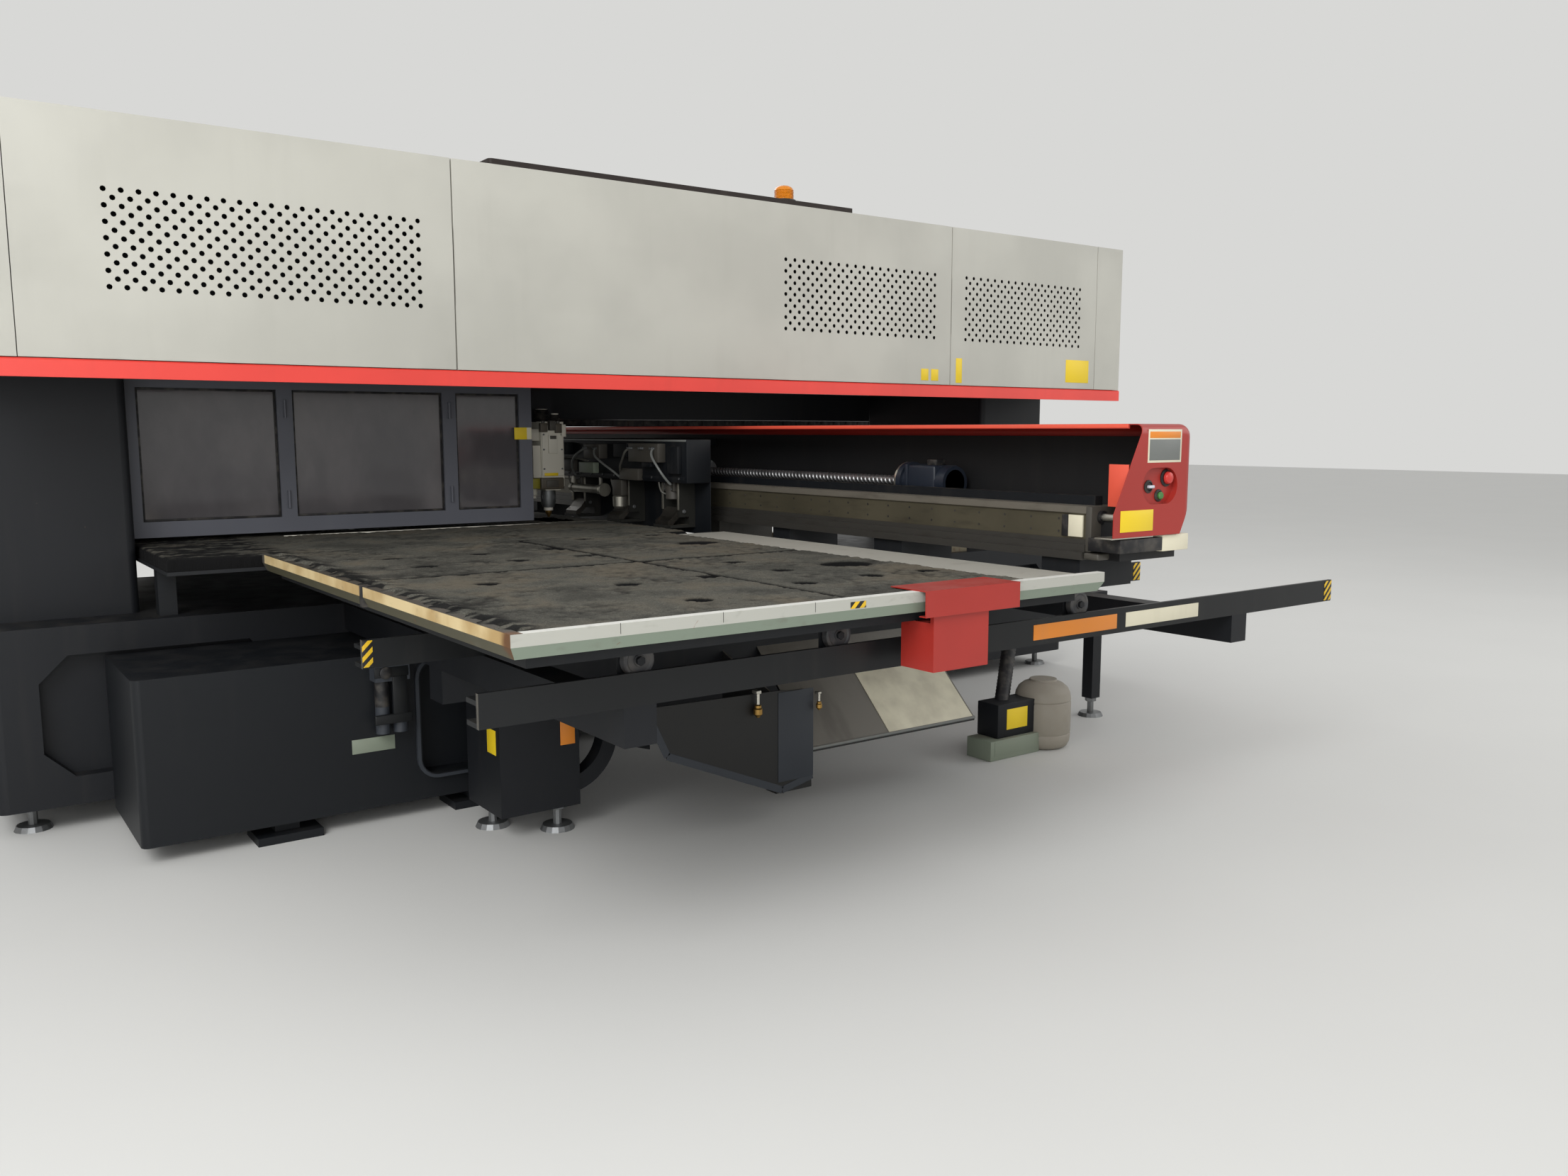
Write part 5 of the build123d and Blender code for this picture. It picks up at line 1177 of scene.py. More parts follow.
class MACHINE_OT_buttons(bpy.types.Operator):
    """Builds the emergency stop, the start button, the selector and their bezels"""

    bl_idname = "machine.buttons"
    bl_label = "Buttons"
    bl_options = {"REGISTER", "UNDO"}

    RECESS = 0.020
    STOP = [
        (0, 0.001), (0.011, 0.001), (0.017, 0.004), (0.0198, 0.010), (0.0198, 0.0130), (0.0105, 0.0135),
    ]
    START = [(0, 0.0005), (0.009, 0.0005), (0.0118, 0.003), (0.0118, 0.008), (0.0085, 0.008)]
    SELECTOR = [
        (0, 0), (0.010, 0), (0.0125, 0.002), (0.0125, 0.005), (0.0075, 0.005), (0.0075, 0.020), (0, 0.020),
    ]

    def execute(self, context):
        for node, name, body, slot, coat, profile in (
            ("e_stop", "stop_button", "emergency_stop", "button_red", "stop button plastic", self.STOP),
            ("start_button", "start_button_head", "start", "button_green", "start button plastic", self.START),
        ):
            low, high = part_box(node)
            middle = (low + high) / 2
            deep = high.y - low.y
            profile = profile + [(profile[-1][0], deep), (0, deep)]
            shape = bmesh.new()
            cap = turned([(radius, -depth) for radius, depth in profile], 40)
            add(shape, cap, spot((middle.x, low.y, middle.z), (0, -1, 0)))
            finish(name, shape, body, coat, [node], outward=True)
        low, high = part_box("selector")
        x, y, z = (low.x + high.x) / 2, low.y, (low.z + high.z) / 2
        knob = bmesh.new()
        slabs(knob, ((x - 0.012, y + 0.0005, z - 0.0045), (x + 0.012, y + 0.013, z + 0.0045), 2 * MM, 1))
        base = turned([(radius, -depth) for radius, depth in self.SELECTOR], 32)
        add(knob, base, spot((x, y + 0.012, z), (0, -1, 0)), coat=0)
        finish(
            "selector_knob", knob, "mode_selector", ["black polyamide", "selector plastic"],
            ["selector"],
        )
        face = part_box("beam_end_plates")[0].y + self.RECESS
        bezels = bmesh.new()
        for node, inner in (("e_stop", 0.0215), ("start_button", 0.0130), ("selector", 0.0140)):
            low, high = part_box(node)
            middle = (low + high) / 2
            outer = inner + 0.0065
            step = inner + 0.002
            ring = [(inner, 0), (outer, 0), (outer, 0.003), (step, 0.006), (inner, 0.006), (inner, 0)]
            add(bezels, turned(ring, 36), spot((middle.x, face, middle.z), (0, -1, 0)))
        finish("button_bezels", bezels, "feed_beam", "black polyamide", outward=True)
        return {"FINISHED"}


class MACHINE_OT_feed_beam(bpy.types.Operator):
    """Adds the plates, flap, end blocks and fasteners of the feed beam"""

    bl_idname = "machine.feed_beam"
    bl_label = "Feed beam"
    bl_options = {"REGISTER", "UNDO"}

    BOLT_ROWS = (1.045, 1.086)
    SCREW_AXIS = (0.240, 1.096)

    def execute(self, context):
        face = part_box("beam_end_plates")[0].y
        plates = bmesh.new()
        slabs(
            plates,
            ((0.283, face - 0.6 * MM, 1.270), (0.451, face + 0.2 * MM, 1.373), 0.3 * MM, 0),
            ((0.290, face - 1.0 * MM, 1.346), (0.444, face, 1.366), 0.3 * MM, 1),
            ((0.290, face - 1.0 * MM, 1.277), (0.444, face, 1.342), 0.3 * MM, 2),
            ((0.161, face - 1.0 * MM, 1.059), (0.320, face + 0.2 * MM, 1.125), 0.4 * MM, 3),
        )
        finish(
            "beam_plates", plates, "feed_beam",
            ["cream plate enamel", "orange plate enamel", "grey plate enamel", "yellow plate enamel"],
        )
        flap = bmesh.new()
        slabs(flap, ((0.1962, face + 3 * MM, 1.1345), (0.2008, face + 77.5 * MM, 1.2655), 0.8 * MM, 0))
        finish("beam_flap", flap, "feed_beam", "flap powder coat")
        # Painted highlight: a strip of lighter red along the cover's top front edge, where the fold catches
        # the light
        low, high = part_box("beam_cover")
        lip = bmesh.new()
        foot = (low.x - 1.2 * MM, low.y + 4 * MM, high.z - 13 * MM)
        slabs(lip, (foot, (low.x + 6 * MM, high.y - 4 * MM, high.z - 0.5 * MM), 1 * MM, 0, 3))
        finish("beam_cover_highlight_lip", lip, "feed_beam", "flap powder coat")
        low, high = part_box("beam_bed")
        end = low.y
        lip_x, face_x = 0.200, 0.206
        blocks = bmesh.new()
        slabs(
            blocks,
            ((lip_x - 1 * MM, end + 17 * MM, 1.031), (face_x, end + 75 * MM, 1.101), 1 * MM, 0),
            ((lip_x + 1 * MM, end + 80 * MM, 1.031), (face_x, end + 104 * MM, 1.101), 1 * MM, 2),
            ((0.193, end - 24 * MM, 0.986), (0.332, end - 0.2 * MM, high.z), 3 * MM, 1),
            ((0.186, end - 60 * MM, 0.962), (0.300, end - 0.2 * MM, 0.984), 6 * MM, 1, 3),
            ((0.176, face + 8 * MM, 0.992), (0.384, end - 26 * MM, 1.034), 2 * MM, 2),
            ((0.385, face + 8 * MM, 0.988), (0.519, end - 20 * MM, 1.0405), 3 * MM, 0),
            ((0.128, face + 4 * MM, 1.0375), (0.330, face + 70 * MM, 1.0418), 0.6 * MM, 3),
        )
        x, z = self.SCREW_AXIS
        shank = turned([(0, 0), (0.0115, 0), (0.0125, 0.001), (0.0125, 0.130), (0, 0.130)], 24)
        add(blocks, shank, spot((x, end - 24 * MM, z), (0, -1, 0)), coat=3)
        collar = turned([(0, 0), (0.020, 0), (0.021, 0.002), (0.021, 0.012), (0, 0.012)], 24)
        add(blocks, collar, spot((x, end - 23 * MM, z), (0, -1, 0)), coat=2)
        screws = [
            spot((face_x + 0.4 * MM, y * MM, z), (-1, 0, 0))
            for y in range(-2760, 2800, 120) for z in self.BOLT_ROWS
        ]
        add(blocks, prism(8, 4 * MM, 1.4 * MM), *screws, coat=2)
        finish(
            "beam_bed_blocks", blocks, "feed_beam",
            ["cream plate enamel", "valve block enamel", "black polyamide", "bright turned steel"],
        )
        return {"FINISHED"}


class MACHINE_OT_clamps(bpy.types.Operator):
    """Adds the cylinders, valves, pipes and bolts of the clamps and their carriage"""

    bl_idname = "machine.clamps"
    bl_label = "Sheet clamps"
    bl_options = {"REGISTER", "UNDO"}

    STATIONS = (-0.700, -0.250, 0.200)
    PIVOT_Z = 1.010
    SADDLE = -0.360
    NUT_Y = -0.348
    CYLINDER = (
        (0, 0), (0.030, 0), (0.034, 0.004), (0.034, 0.060), (0.030, 0.064), (0.022, 0.066), (0.022, 0.074),
        (0, 0.074),
    )
    NUT = (
        (0.0212, 0), (0.060, 0), (0.060, 0.016), (0.046, 0.018), (0.046, 0.196), (0.0212, 0.196), (0.0212, 0),
    )
    CUP = ((0, 0), (0.024, 0), (0.032, 0.010), (0.034, 0.055), (0.029, 0.060), (0.026, 0.056), (0, 0.052))
    BARREL = (
        (0, 0), (0.020, 0), (0.024, 0.004), (0.024, 0.030), (0.021, 0.034), (0.021, 0.285), (0.024, 0.289),
        (0.024, 0.318), (0.020, 0.322), (0.009, 0.323), (0.009, 0.350), (0, 0.350),
    )
    BOXES = (
        ((-0.722, -0.455), (1.228, 1.312), 0.040, 3),
        ((-0.640, -0.560), (1.205, 1.232), 0.030, 0),
        ((-0.430, -0.300), (1.246, 1.310), 0.034, 0),
        ((-0.180, -0.020), (1.236, 1.306), 0.045, 3),
        ((-0.091, 0.064), (1.164, 1.216), 0.030, 4),
        ((0.136, 0.299), (1.168, 1.230), 0.028, 3),
        ((0.180, 0.360), (1.250, 1.312), 0.036, 0),
        ((-0.517, -0.340), (1.142, 1.196), 0.026, 3),
        ((-0.860, -0.770), (1.180, 1.300), 0.022, 0),
    )
    UNIONS = ((-0.690, 1.290), (-0.590, 1.290), (-0.490, 1.290), (-0.150, 1.286), (-0.050, 1.286))
    PIPES = (
        ([(-0.105, -0.690, 1.290), (-0.125, -0.690, 1.270), (-0.118, -0.760, 1.200), (-0.085, -0.770, 1.150),
          (-0.064, -0.770, 1.132)], 2),
        ([(-0.105, -0.490, 1.290), (-0.128, -0.480, 1.285), (-0.118, -0.430, 1.235), (-0.100, -0.370, 1.200),
          (-0.072, -0.330, 1.168)], 5),
        ([(-0.110, -0.150, 1.286), (-0.132, -0.160, 1.260), (-0.120, -0.240, 1.215), (-0.096, -0.300, 1.180),
          (-0.064, -0.310, 1.150)], 2),
        ([(-0.110, -0.050, 1.286), (-0.135, -0.030, 1.270), (-0.118, 0.080, 1.230), (-0.090, 0.140, 1.170),
          (-0.064, 0.150, 1.150)], 2),
        ([(-0.070, 0.340, 1.240), (-0.100, 0.300, 1.225), (-0.104, 0.200, 1.240), (-0.100, 0.060, 1.236),
          (-0.082, -0.020, 1.222)], 5),
    )

    def carriage(self):
        """The carriage's front bar, its saddle on the guide and the round ball nut."""
        low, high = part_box("clamp_carriage")
        guide_low, guide_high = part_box("carriage_guide")
        screw_low, screw_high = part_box("ball_screw")
        axis = (screw_low + screw_high) / 2
        x, z = axis.x, axis.z
        rear, under, foot, saddle = high.y, high.z - 0.034, guide_low.z + 6 * MM, self.SADDLE
        left, right, near = guide_low.x, guide_high.x, 0.4 * MM
        body = bmesh.new()
        slabs(
            body,
            ((low.x, low.y, 1.140), (0.066, rear, high.z), 4 * MM, 0),
            ((0.064, saddle, high.z - 0.035), (high.x, rear, high.z), 3 * MM, 0),
            ((0.064, saddle, foot), (left - near, rear, under), 3 * MM, 0),
            ((right + near, saddle, foot), (right + 0.0204, rear, under), 2 * MM, 0),
            ((left - 0.010, saddle, guide_high.z + near), (right + 0.010, rear, under), 2 * MM, 0),
        )
        add(body, turned(self.NUT, 40), spot((x, self.NUT_Y, z), (0, 1, 0)), coat=1)
        for y in (-0.325, -0.185):
            slabs(body, ((x - 0.030, y, z + 0.038), (x + 0.030, y + 0.030, under), 2 * MM, 0))
        add(body, bolt(4 * MM), *bolt_circle((x, self.NUT_Y, z), 0.053, -1), coat=1)
        finish(
            "carriage_body", body, "carriage", ["carriage enamel", "zinc-plated steel"],
            ["clamp_carriage"], outward=True,
        )

    def cylinders(self):
        """What stands on each clamp: its cylinder, head block, links, nuts, bolts and pipe."""
        shape = bmesh.new()
        for y in self.STATIONS:
            add(shape, turned(self.CYLINDER, 28), spot((-0.008, y, 1.062)), coat=0)
            slabs(shape, ((-0.034, y - 0.046, 1.098), (0.027, y + 0.046, 1.1395), 4 * MM, 0, 3))
            for middle in (y - 0.0665, y + 0.0665):
                foot = (-0.0265, middle - 0.007, 1.016)
                slabs(shape, (foot, (-0.0215, middle + 0.007, 1.136), 1.5 * MM, 3))
            nuts = [spot((0, y + side * 0.0745, self.PIVOT_Z), (0, side, 0)) for side in (-1, 1)]
            add(shape, prism(6, 9 * MM, 7 * MM, 1.2 * MM), *nuts, coat=1)
            heads = [
                spot((-0.0345, y + step, z), (-1, 0, 0)) for step in (-0.030, 0.030) for z in (1.108, 1.130)
            ]
            add(shape, bolt(4 * MM), *heads, coat=1)
            route = [
                (-0.020, y + 0.030, 1.085), (-0.030, y + 0.050, 1.085), (-0.044, y + 0.058, 1.105),
                (-0.048, y + 0.058, 1.139),
            ]
            add(shape, tube(route, 4 * MM), coat=2)
        add(shape, turned(self.CUP, 28), spot((-0.062, -0.300, 1.004)), coat=3)
        slabs(shape, ((-0.078, -0.345, 1.064), (-0.046, -0.255, 1.139), 4 * MM, 0))
        finish(
            "clamp_cylinders", shape, "carriage",
            ["valve block enamel", "zinc-plated steel", "pale hose", "nickelled clamp steel"],
        )

    def front(self):
        """The strips, blocks, pipes and bolts on the carriage's front, and the sheet behind the clamps."""
        low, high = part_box("clamp_carriage")
        face = low.x
        trim = bmesh.new()
        slabs(
            trim,
            ((0.061, -0.900, 0.909), (0.065, high.y, 1.142), 1 * MM, 0),
            ((face - 2.5 * MM, low.y + 0.004, high.z - 9 * MM),
             (face + 1 * MM, high.y - 0.004, high.z - 1 * MM), 1 * MM, 2),
            ((face - 3 * MM, low.y + 0.02, 1.150), (face + 1 * MM, high.y - 0.02, 1.166), 1.5 * MM, 0),
        )
        for y, z, depth, coat in self.BOXES:
            slabs(trim, ((face - depth, y[0], z[0]), (face + 1 * MM, y[1], z[1]), 3 * MM, coat))
        union = prism(6, 8 * MM, 9 * MM, 1 * MM)
        add(union, rod(0.0055, 0.020, 14), spot((0, 0, 8 * MM)))
        add(trim, union, *[spot((face - 0.038, y, z), (-1, 0, 0)) for y, z in self.UNIONS], coat=1)
        for route, coat in self.PIPES:
            add(trim, tube(route, 5.5 * MM), coat=coat)
        add(trim, turned(self.BARREL, 28), spot((-0.054, 0.215, 1.084), (0, -1, 0)), coat=6)
        for y in (0.190, -0.095):
            slabs(trim, ((-0.060, y - 7 * MM, 1.088), (-0.046, y + 7 * MM, 1.143), 2 * MM, 6))
        add(trim, prism(18, 0.033, 8 * MM, 1 * MM), spot((-0.054, -0.130, 1.084), (0, -1, 0)), coat=6)
        heads = [
            spot((face - 2 * MM, low.y + 0.06 + number * 0.118, 1.158), (-1, 0, 0)) for number in range(11)
        ]
        add(trim, bolt(4.5 * MM), *heads, coat=1)
        finish(
            "carriage_front", trim, "carriage",
            ["carriage enamel", "zinc-plated steel", "grey plate enamel", "valve block enamel",
             "green-grey plate enamel", "pale hose", "nickelled clamp steel"],
        )

    def execute(self, context):
        self.carriage()
        self.cylinders()
        self.front()
        return {"FINISHED"}


class MACHINE_OT_head(bpy.types.Operator):
    """Builds the nozzle, the plates and the fittings of the cutting head"""

    bl_idname = "machine.head"
    bl_label = "Cutting head"
    bl_options = {"REGISTER", "UNDO"}

    TIP = ((0, 0), (0.0035, 0), (0.0045, 0.002), (0.012, 0.016), (0.0155, 0.024), (0.0155, 0.032), (0, 0.032))
    RING = ((0, 0.032), (0.020, 0.032), (0.022, 0.034), (0.022, 0.046), (0.020, 0.048), (0, 0.048))
    JACK = ((0, 0), (0.015, 0), (0.016, 0.002), (0.016, 0.030), (0.011, 0.034), (0.011, 0.046), (0, 0.046))
    BELLOWS = ((-0.352, -0.082, 0.0285, 1.4705), (-0.296, -0.106, 0.0175, 1.4505))
    GLANDS = ((-0.378, 0.010), (-0.337, 0.014), (-0.302, 0.010))
    BELLOWS_FOOT = 1.411
    FOLD = 0.012
    FITTINGS = (
        ((-0.396, -0.360), (1.362, 1.404), 0.022, 4), ((-0.352, -0.322), (1.370, 1.416), 0.030, 3),
        ((-0.318, -0.286), (1.358, 1.402), 0.020, 4), ((-0.284, -0.262), (1.340, 1.398), 0.014, 0),
    )

    def nozzle(self):
        """The brass tip, the ceramic ring and the knurled cup above them."""
        low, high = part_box("laser_nozzle")
        axis = (low + high) / 2
        tall = high.z - low.z
        shape = turned(self.TIP, 40)
        add(shape, turned(self.RING, 40), coat=1)
        cup = [(0, 0.048), (0.027, 0.048), (0.0352, 0.074), (0.0352, tall), (0, tall)]
        add(shape, turned(cup, 48), coat=2)
        knurl = Matrix.Translation((0.0347, 0, 0.096))
        knurls = [Matrix.Rotation(math.pi / 12 * number, 4, "Z") @ knurl for number in range(24)]
        add(shape, rounded_block((1.8 * MM, 3 * MM, 20 * MM), 0.6 * MM, 1), *knurls, coat=2)
        bmesh.ops.translate(shape, vec=(axis.x, axis.y, low.z), verts=shape.verts)
        finish(
            "nozzle_stack", shape, "laser",
            ["spun brass", "ceramic ring", "die-cast aluminium"], ["laser_nozzle"],
        )

    def execute(self, context):
        self.nozzle()
        front, left, right = -0.140, -0.386, -0.270
        trim = bmesh.new()
        slabs(
            trim,
            ((left + 4 * MM, front - 5 * MM, 1.156), (right - 4 * MM, front + 1 * MM, 1.396), 4 * MM, 0, 3),
            ((-0.352, front - 11 * MM, 1.262), (-0.304, front - 4 * MM, 1.352), 3 * MM, 0),
            ((-0.344, front - 13 * MM, 1.330), (-0.312, front - 10 * MM, 1.346), 1 * MM, 3),
            ((-0.374, front - 7.5 * MM, 1.158), (-0.304, front - 4.5 * MM, 1.172), 1 * MM, 2),
            ((-0.398, front - 20 * MM, 1.096), (-0.280, front - 0.5 * MM, 1.150), 6 * MM, 4, 3),
            ((-0.372, front - 24 * MM, 1.106), (-0.310, front - 18 * MM, 1.138), 3 * MM, 3),
            ((-0.454, -0.126, 1.098), (left - 1 * MM, -0.060, 1.146), 3 * MM, 5),
            ((-0.446, -0.110, 1.144), (-0.420, -0.076, 1.162), 3 * MM, 5),
            ((-0.472, -0.122, 1.322), (left + 1 * MM, -0.114, 1.376), 1.5 * MM, 0),
        )
        foot = self.BELLOWS_FOOT
        for x, y, radius, height in self.BELLOWS:
            folds = [(radius, foot)]
            for number in range(round((height - foot) / self.FOLD)):
                along = number * self.FOLD
                folds += [(radius + 0.007, foot + 0.003 + along), (radius + 0.001, foot + 0.009 + along)]
            folds += [(radius, folds[-1][1]), (radius, foot)]
            add(trim, turned(folds, 28), Matrix.Translation((x, y, 0)), coat=7)
        for x, z, depth, coat in self.FITTINGS:
            slabs(trim, ((x[0], front - depth, z[0]), (x[1], front - 0.5 * MM, z[1]), 3 * MM, coat))
        glands = [spot((x, front - deep, 1.402)) for x, deep in self.GLANDS]
        add(trim, prism(6, 8 * MM, 12 * MM, 1 * MM), *glands, coat=3)
        heads = [
            spot((x, front - 5.5 * MM, z), (0, -1, 0))
            for x in (-0.374, -0.282) for z in (1.190, 1.280, 1.350)
        ]
        add(trim, bolt(3.5 * MM), *heads, coat=6)
        add(trim, turned(self.JACK, 24), spot((-0.405, -0.090, 1.098), (0, 0, -1)), coat=0)
        finish(
            "head_trim", trim, "laser",
            ["head enamel", "die-cast aluminium", "yellow plate enamel", "valve block enamel",
             "oily head enamel", "yellow-green plate enamel", "zinc-plated steel", "gasket rubber"],
        )
        return {"FINISHED"}


def wheel_profile(radius):
    """A wheel's half section: hub, dished web and tyre with broken edges."""
    rim, hub, web, tyre = 0.01005, 0.014, 0.015, 0.034
    return [
        (rim, 0), (hub, 0), (web, 0.003), (0.030, 0.003), (tyre, 0), (radius - 0.003, 0), (radius, 0.003),
        (radius, 0.022), (radius - 0.003, 0.025), (tyre, 0.025), (0.030, 0.022), (web, 0.022), (hub, 0.025),
        (rim, 0.025), (rim, 0),
    ]


class MACHINE_OT_tables(bpy.types.Operator):
    """Adds the plates of the rails, the joints of the table's bars, and the wheels with their brackets"""

    bl_idname = "machine.tables"
    bl_label = "Tables and rails"
    bl_options = {"REGISTER", "UNDO"}

    WHEEL_ROWS = (-1.430, -0.811, 0.177)
    WHEEL_LINES = (-2.882, -2.032, 2.007, 2.857)
    CAP_LINES = ((-2.8862, -1), (-2.0362, -1), (2.0362, 1), (2.8862, 1))
    BRACKET_LINES = (-2.851, -2.001)
    INNER_RAIL = -2.050
    JOINTS = (-1.587, -1.317, -1.046)

    def execute(self, context):
        low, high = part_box("table_rails")
        front, inner = low.y, self.INNER_RAIL
        plates = bmesh.new()
        for x0, x1, y, z0, z1, coat in (
            (-0.058, 0.340, front, 0.728, 0.776, 0), (0.386, 0.780, front, 0.728, 0.776, 1),
            (-1.835, -1.806, inner, 0.716, 0.791, 2), (1.528, 1.575, inner, 0.716, 0.791, 2),
            (1.590, 1.638, front, 0.716, 0.791, 2),
        ):
            slabs(plates, ((x0, y - 1.2 * MM, z0), (x1, y + 0.3 * MM, z1), 0.4 * MM, coat))
        for x, y in ((low.x, front), (-1.835, inner)):
            slabs(plates, ((x - 0.8 * MM, y, low.z), (x + 0.8 * MM, y + 11.5 * MM, high.z), 0.4 * MM, 3))
        finish(
            "rail_plates", plates, "machine_frame",
            ["orange plate enamel", "cream plate enamel", "hazard paint", "valve block enamel"],
        )
        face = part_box("front_edges")[0].y
        small = bmesh.new()
        slabs(small, ((-0.934, face - 1 * MM, 0.9245), (-0.884, face + 0.3 * MM, 0.9415), 0.3 * MM, 0))
        finish("table_plate", small, "feed_beam", "hazard paint")
        nicks = bmesh.new()
        for x in self.JOINTS:
            foot = (x - 0.5 * MM, face - 0.3 * MM, 0.926)
            slabs(nicks, (foot, (x + 0.9 * MM, face + 1 * MM, 0.9503), 0.2 * MM, 0))
        slabs(nicks, ((-1.8462, -2.112, 0.8935), (-1.8168, -2.086, 0.9503), 0.3 * MM, 0))
        finish("bar_joints", nicks, "feed_beam", "gasket rubber")
        for row, x in enumerate(self.WHEEL_ROWS, start=1):
            wheel_low, wheel_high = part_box(f"table_wheels_{row}")
            middle = (wheel_low.z + wheel_high.z) / 2
            shape = bmesh.new()
            tyre = turned(wheel_profile((wheel_high.z - wheel_low.z) / 2), 40)
            add(shape, tyre, *[spot((x, y + 0.025, middle), (0, -1, 0)) for y in self.WHEEL_LINES])
            finish(
                f"wheel_tyres_{row}", shape, f"wheels_{row}", "grey wheel polyamide",
                [f"table_wheels_{row}"], outward=True,
            )
        caps = bmesh.new()
        for x in self.WHEEL_ROWS:
            places = [spot((x, y, middle), (0, outward, 0)) for y, outward in self.CAP_LINES]
            add(caps, prism(6, 0.012, 6 * MM, 1 * MM), *places)
            for y in self.BRACKET_LINES:
                slabs(caps, ((x - 0.046, y, middle - 0.040), (x + 0.046, y + 3 * MM, 0.858), 2 * MM, 0))
        finish("wheel_brackets", caps, "feed_beam", "table enamel")
        return {"FINISHED"}


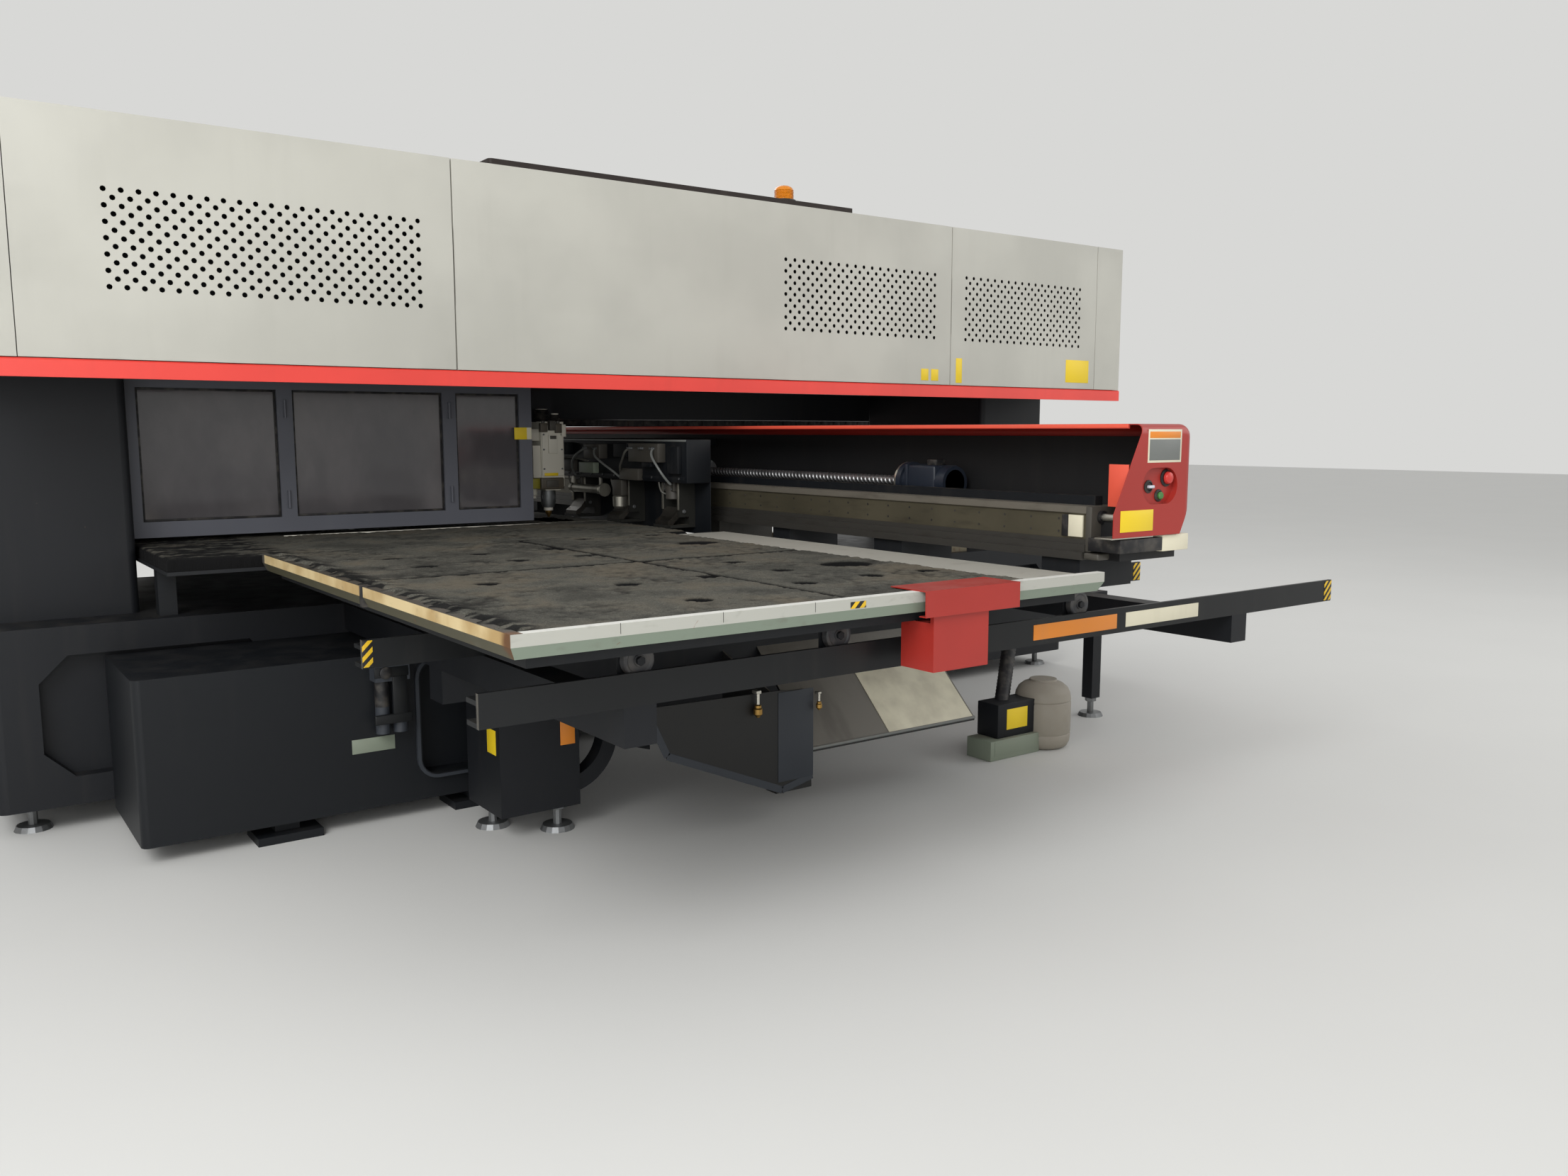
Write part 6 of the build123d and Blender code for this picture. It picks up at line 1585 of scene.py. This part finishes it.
class MACHINE_OT_under_table(bpy.types.Operator):
    """Builds the dust collector, the air unit, the chute's sheets and what hangs under the front table"""

    bl_idname = "machine.under_table"
    bl_label = "Under the table"
    bl_options = {"REGISTER", "UNDO"}

    DRUM = (
        (0, 0), (0.090, 0), (0.108, 0.010), (0.118, 0.030), (0.1215, 0.060), (0.1185, 0.066), (0.1215, 0.072),
        (0.1215, 0.200), (0.1185, 0.206), (0.1215, 0.212), (0.117, 0.240), (0.105, 0.264), (0.085, 0.280),
        (0.060, 0.290), (0.058, 0.298), (0, 0.299),
    )
    DRUM_PLACE = (1.137, -1.895, 0)
    DUCT_ENDS = (Vector((0.897, -1.875, 0.200)), Vector((1.197, -1.655, 0.532)))
    DUCT_LENGTH = 0.5015
    DUCT_RIB = 0.018
    SLIDE = (Vector((0, -1.710, 0.560)), Vector((0, -2.050, 0.236)))
    RIM_Y = -2.0565
    RIMS = (
        ((-0.951, 0.478), (-0.864, 0.295)), ((-0.864, 0.295), (-0.396, 0.098)),
        ((-0.396, 0.098), (-0.261, 0.130)),
    )
    VALVES = ((-0.512, 0.392, 1.0), (-0.246, 0.382, 0.7))
    VALVE = (
        (0, 0), (0.006, 0), (0.010, 0.006), (0.016, 0.012), (0.016, 0.030), (0.012, 0.034), (0.012, 0.042),
        (0.007, 0.046), (0, 0.046),
    )
    VALVE_PIPE = ((0, 0.046), (0.0065, 0.046), (0.0065, 0.086), (0, 0.086))
    BAY = (-1.250, 0.355)
    BOWL = ((0, 0), (0.014, 0), (0.022, 0.010), (0.0245, 0.030), (0.0245, 0.120), (0.020, 0.124), (0, 0.124))
    DIAL = ((0, 0), (0.019, 0), (0.021, 0.003), (0.021, 0.012), (0.018, 0.014), (0, 0.014))

    def execute(self, context):
        self.collector()
        plates = bmesh.new()
        slabs(
            plates,
            ((-1.3045, -1.690, 0.300), (-1.3028, -1.620, 0.384), 0.4 * MM, 0),
            ((-1.084, -1.7215, 0.308), (-1.030, -1.7198, 0.408), 0.4 * MM, 1),
            ((-1.640, -1.2518, 0.262), (-1.492, -1.2498, 0.312), 0.4 * MM, 2),
        )
        finish(
            "base_plates", plates, "machine_frame",
            ["yellow plate enamel", "orange plate enamel", "green-grey plate enamel"],
        )
        self.chute()
        self.cabinet()
        return {"FINISHED"}

    def collector(self):
        """The dust collector's drum, its fan box and the ribbed duct."""
        shape = bmesh.new()
        add(shape, turned(self.DRUM, 56), Matrix.Translation(self.DRUM_PLACE), coat=0)
        slabs(
            shape,
            ((0.747, -1.965, 0.0), (1.044, -1.825, 0.085), 4 * MM, 1),
            ((0.807, -1.945, 0.085), (1.044, -1.825, 0.230), 4 * MM, 2),
            ((0.860, -1.9462, 0.118), (0.985, -1.9445, 0.205), 0.4 * MM, 3),
            ((0.770, -1.9665, 0.020), (1.030, -1.9645, 0.080), 0.4 * MM, 1),
        )
        foot, head = self.DUCT_ENDS
        run = head - foot
        ribs = round(run.length / self.DUCT_RIB)
        section = [(0, 0)]
        for rib in range(ribs):
            section += [(0.029, self.DUCT_RIB * rib + 0.001), (0.0318, self.DUCT_RIB * rib + 0.009)]
        section += [(0.029, self.DUCT_RIB * ribs), (0, self.DUCT_RIB * ribs)]
        duct = turned(section, 28)
        bmesh.ops.transform(duct, matrix=spot(foot, run), verts=duct.verts)
        cut_off(duct, (0, 0, self.DUCT_LENGTH), (0, 0, 1))
        close(duct)
        add(shape, duct, coat=4)
        finish(
            "dust_collector_body", shape, "machine_frame",
            ["drum polyethylene", "green-grey plate enamel", "frame enamel", "yellow plate enamel",
             "hose rubber"],
            ["dust_collector"], outward=True,
        )

    def chute(self):
        """The liner on the slide, the rims of the front plate, the hanging valves and the box's cover."""
        top, foot = self.SLIDE
        along = (foot - top).normalized()
        slope = Matrix.Translation(top) @ Matrix.Rotation(math.atan2(-along.z, -along.y), 4, "X")
        shape = bmesh.new()
        liner = rounded_block((0.440, 0.290, 2.4 * MM), 1 * MM)
        corners = [e for e in liner.edges if all(abs(v.co.x) > 0.21 and abs(v.co.y) > 0.14 for v in e.verts)]
        soften(liner, [e for e in corners if lies_along(e, "z")], 0.6 * MM)
        add(shape, liner, slope @ Matrix.Translation((0.332, -0.325, 1.6 * MM)), coat=0)
        add(shape, rod(0.006, 0.822, 14), spot((-0.261, -2.048, 0.236), (1, 0, 0)), coat=2)
        slabs(shape, ((-0.414, -2.0580, 0.140), (-0.259, -2.0555, 0.462), 1 * MM, 1))
        for start, end in self.RIMS:
            start, end = Vector((start[0], self.RIM_Y, start[1])), Vector((end[0], self.RIM_Y, end[1]))
            run = end - start
            edge = rounded_block((26 * MM, 2.4 * MM, run.length), 0.8 * MM, 1)
            lean = Matrix.Rotation(math.atan2(run.x, run.z), 4, "Y")
            add(shape, edge, Matrix.Translation((start + end) / 2 + Vector((0, 0, 12 * MM))) @ lean, coat=1)
        for x, z, scale in self.VALVES:
            place = Matrix.Translation((x, -2.074, z)) @ Matrix.Scale(scale, 4)
            add(shape, turned(self.VALVE, 20), place, coat=3)
            add(shape, turned(self.VALVE_PIPE, 16), place, coat=4)
            bracket = rounded_block((0.020, 0.030, 0.012), 2 * MM)
            add(shape, bracket, place @ Matrix.Translation((0, 0.008, 0.088)), coat=4)
        finish(
            "chute_sheets", shape, "machine_frame",
            ["cream plate enamel", "chute box enamel", "grey plate enamel", "spun brass",
             "bright turned steel"],
        )

    def cabinet(self):
        """The rim of the cabinet's bay and the air unit's filters, regulator and bracket."""
        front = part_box("service_cabinet")[0].y
        shape = bmesh.new()
        rim = rounded_block((0.332, 0.014, 0.442), 0)
        soften(rim, [e for e in rim.edges if lies_along(e, "y")], 0.075, 6)
        sides = [f for f in rim.faces if abs(f.normal.y) > 0.9]
        bmesh.ops.inset_region(rim, faces=sides, thickness=0.012, depth=0)
        middle = [f for f in rim.faces if abs(f.normal.y) > 0.9 and f.calc_area() > 0.08]
        loops = [e for f in middle for e in f.edges]
        bmesh.ops.delete(rim, geom=middle, context="FACES")
        bmesh.ops.bridge_loops(rim, edges=[e for e in loops if e.is_valid])
        bmesh.ops.recalc_face_normals(rim, faces=rim.faces)
        add(shape, rim, Matrix.Translation((self.BAY[0], front + 6.5 * MM, self.BAY[1])), coat=0)
        low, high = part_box("air_unit")
        x0, x1, y, top = low.x, high.x, low.y, high.z
        slabs(
            shape,
            ((x0 - 2 * MM, y - 2 * MM, top - 0.046), (x1 - 4 * MM, y + 4 * MM, top - 0.010), 3 * MM, 1),
            ((x1 - 0.062, y - 3 * MM, 0.398), (x1 - 0.010, y + 6 * MM, top - 0.044), 3 * MM, 1),
            ((x0 - 6 * MM, y - 4 * MM, 0.366), (x1 + 4 * MM, y + 8 * MM, 0.400), 4 * MM, 1, 3),
        )
        add(shape, turned(self.BOWL, 24), spot((x0 + 0.030, y + 0.030, 0.398)), coat=2)
        add(shape, turned(self.DIAL, 28), spot((x0 + 0.034, y - 1 * MM, top - 0.028), (0, -1, 0)), coat=2)
        finish(
            "air_unit_fittings", shape, "machine_frame",
            ["chute box enamel", "rail enamel", "black polyamide"],
        )

class MACHINE_PT_panel(bpy.types.Panel):
    """Lists the machine's operators and their sizes"""

    bl_idname = "MACHINE_PT_panel"
    bl_label = "Laser cutting machine"
    bl_space_type = "VIEW_3D"
    bl_region_type = "UI"
    bl_category = "Machine"

    def draw(self, context):
        for name in SETTINGS:
            group = getattr(context.scene, name)
            box = self.layout.box()
            for item in group.__annotations__:
                box.prop(group, item)
        for operator in OPERATORS:
            self.layout.operator(operator.bl_idname)


SETTINGS = {
    "machine_housing": HousingSettings,
    "machine_tables": TableSettings,
    "machine_beam": BeamSettings,
    "machine_stage": StageSettings,
}
OPERATORS = (
    MACHINE_OT_stage,
    MACHINE_OT_finishes,
    MACHINE_OT_housing,
    MACHINE_OT_beacon,
    MACHINE_OT_guard,
    MACHINE_OT_brushes,
    MACHINE_OT_screw,
    MACHINE_OT_buttons,
    MACHINE_OT_feed_beam,
    MACHINE_OT_clamps,
    MACHINE_OT_head,
    MACHINE_OT_tables,
    MACHINE_OT_under_table,
)


def register():
    for name, group in SETTINGS.items():
        bpy.utils.register_class(group)
        setattr(bpy.types.Scene, name, bpy.props.PointerProperty(type=group))
    for operator in OPERATORS:
        bpy.utils.register_class(operator)
    bpy.utils.register_class(MACHINE_PT_panel)


def unregister():
    bpy.utils.unregister_class(MACHINE_PT_panel)
    for operator in reversed(OPERATORS):
        bpy.utils.unregister_class(operator)
    for name, group in SETTINGS.items():
        delattr(bpy.types.Scene, name)
        bpy.utils.unregister_class(group)


def main():
    """Builds the whole machine."""
    register()
    bpy.ops.machine.stage()
    bpy.ops.machine.finishes()
    bpy.ops.machine.housing()
    bpy.ops.machine.beacon()
    bpy.ops.machine.guard()
    bpy.ops.machine.brushes()
    bpy.ops.machine.screw()
    bpy.ops.machine.buttons()
    bpy.ops.machine.feed_beam()
    bpy.ops.machine.clamps()
    bpy.ops.machine.head()
    bpy.ops.machine.tables()
    bpy.ops.machine.under_table()


if __name__ == "__main__":
    main()
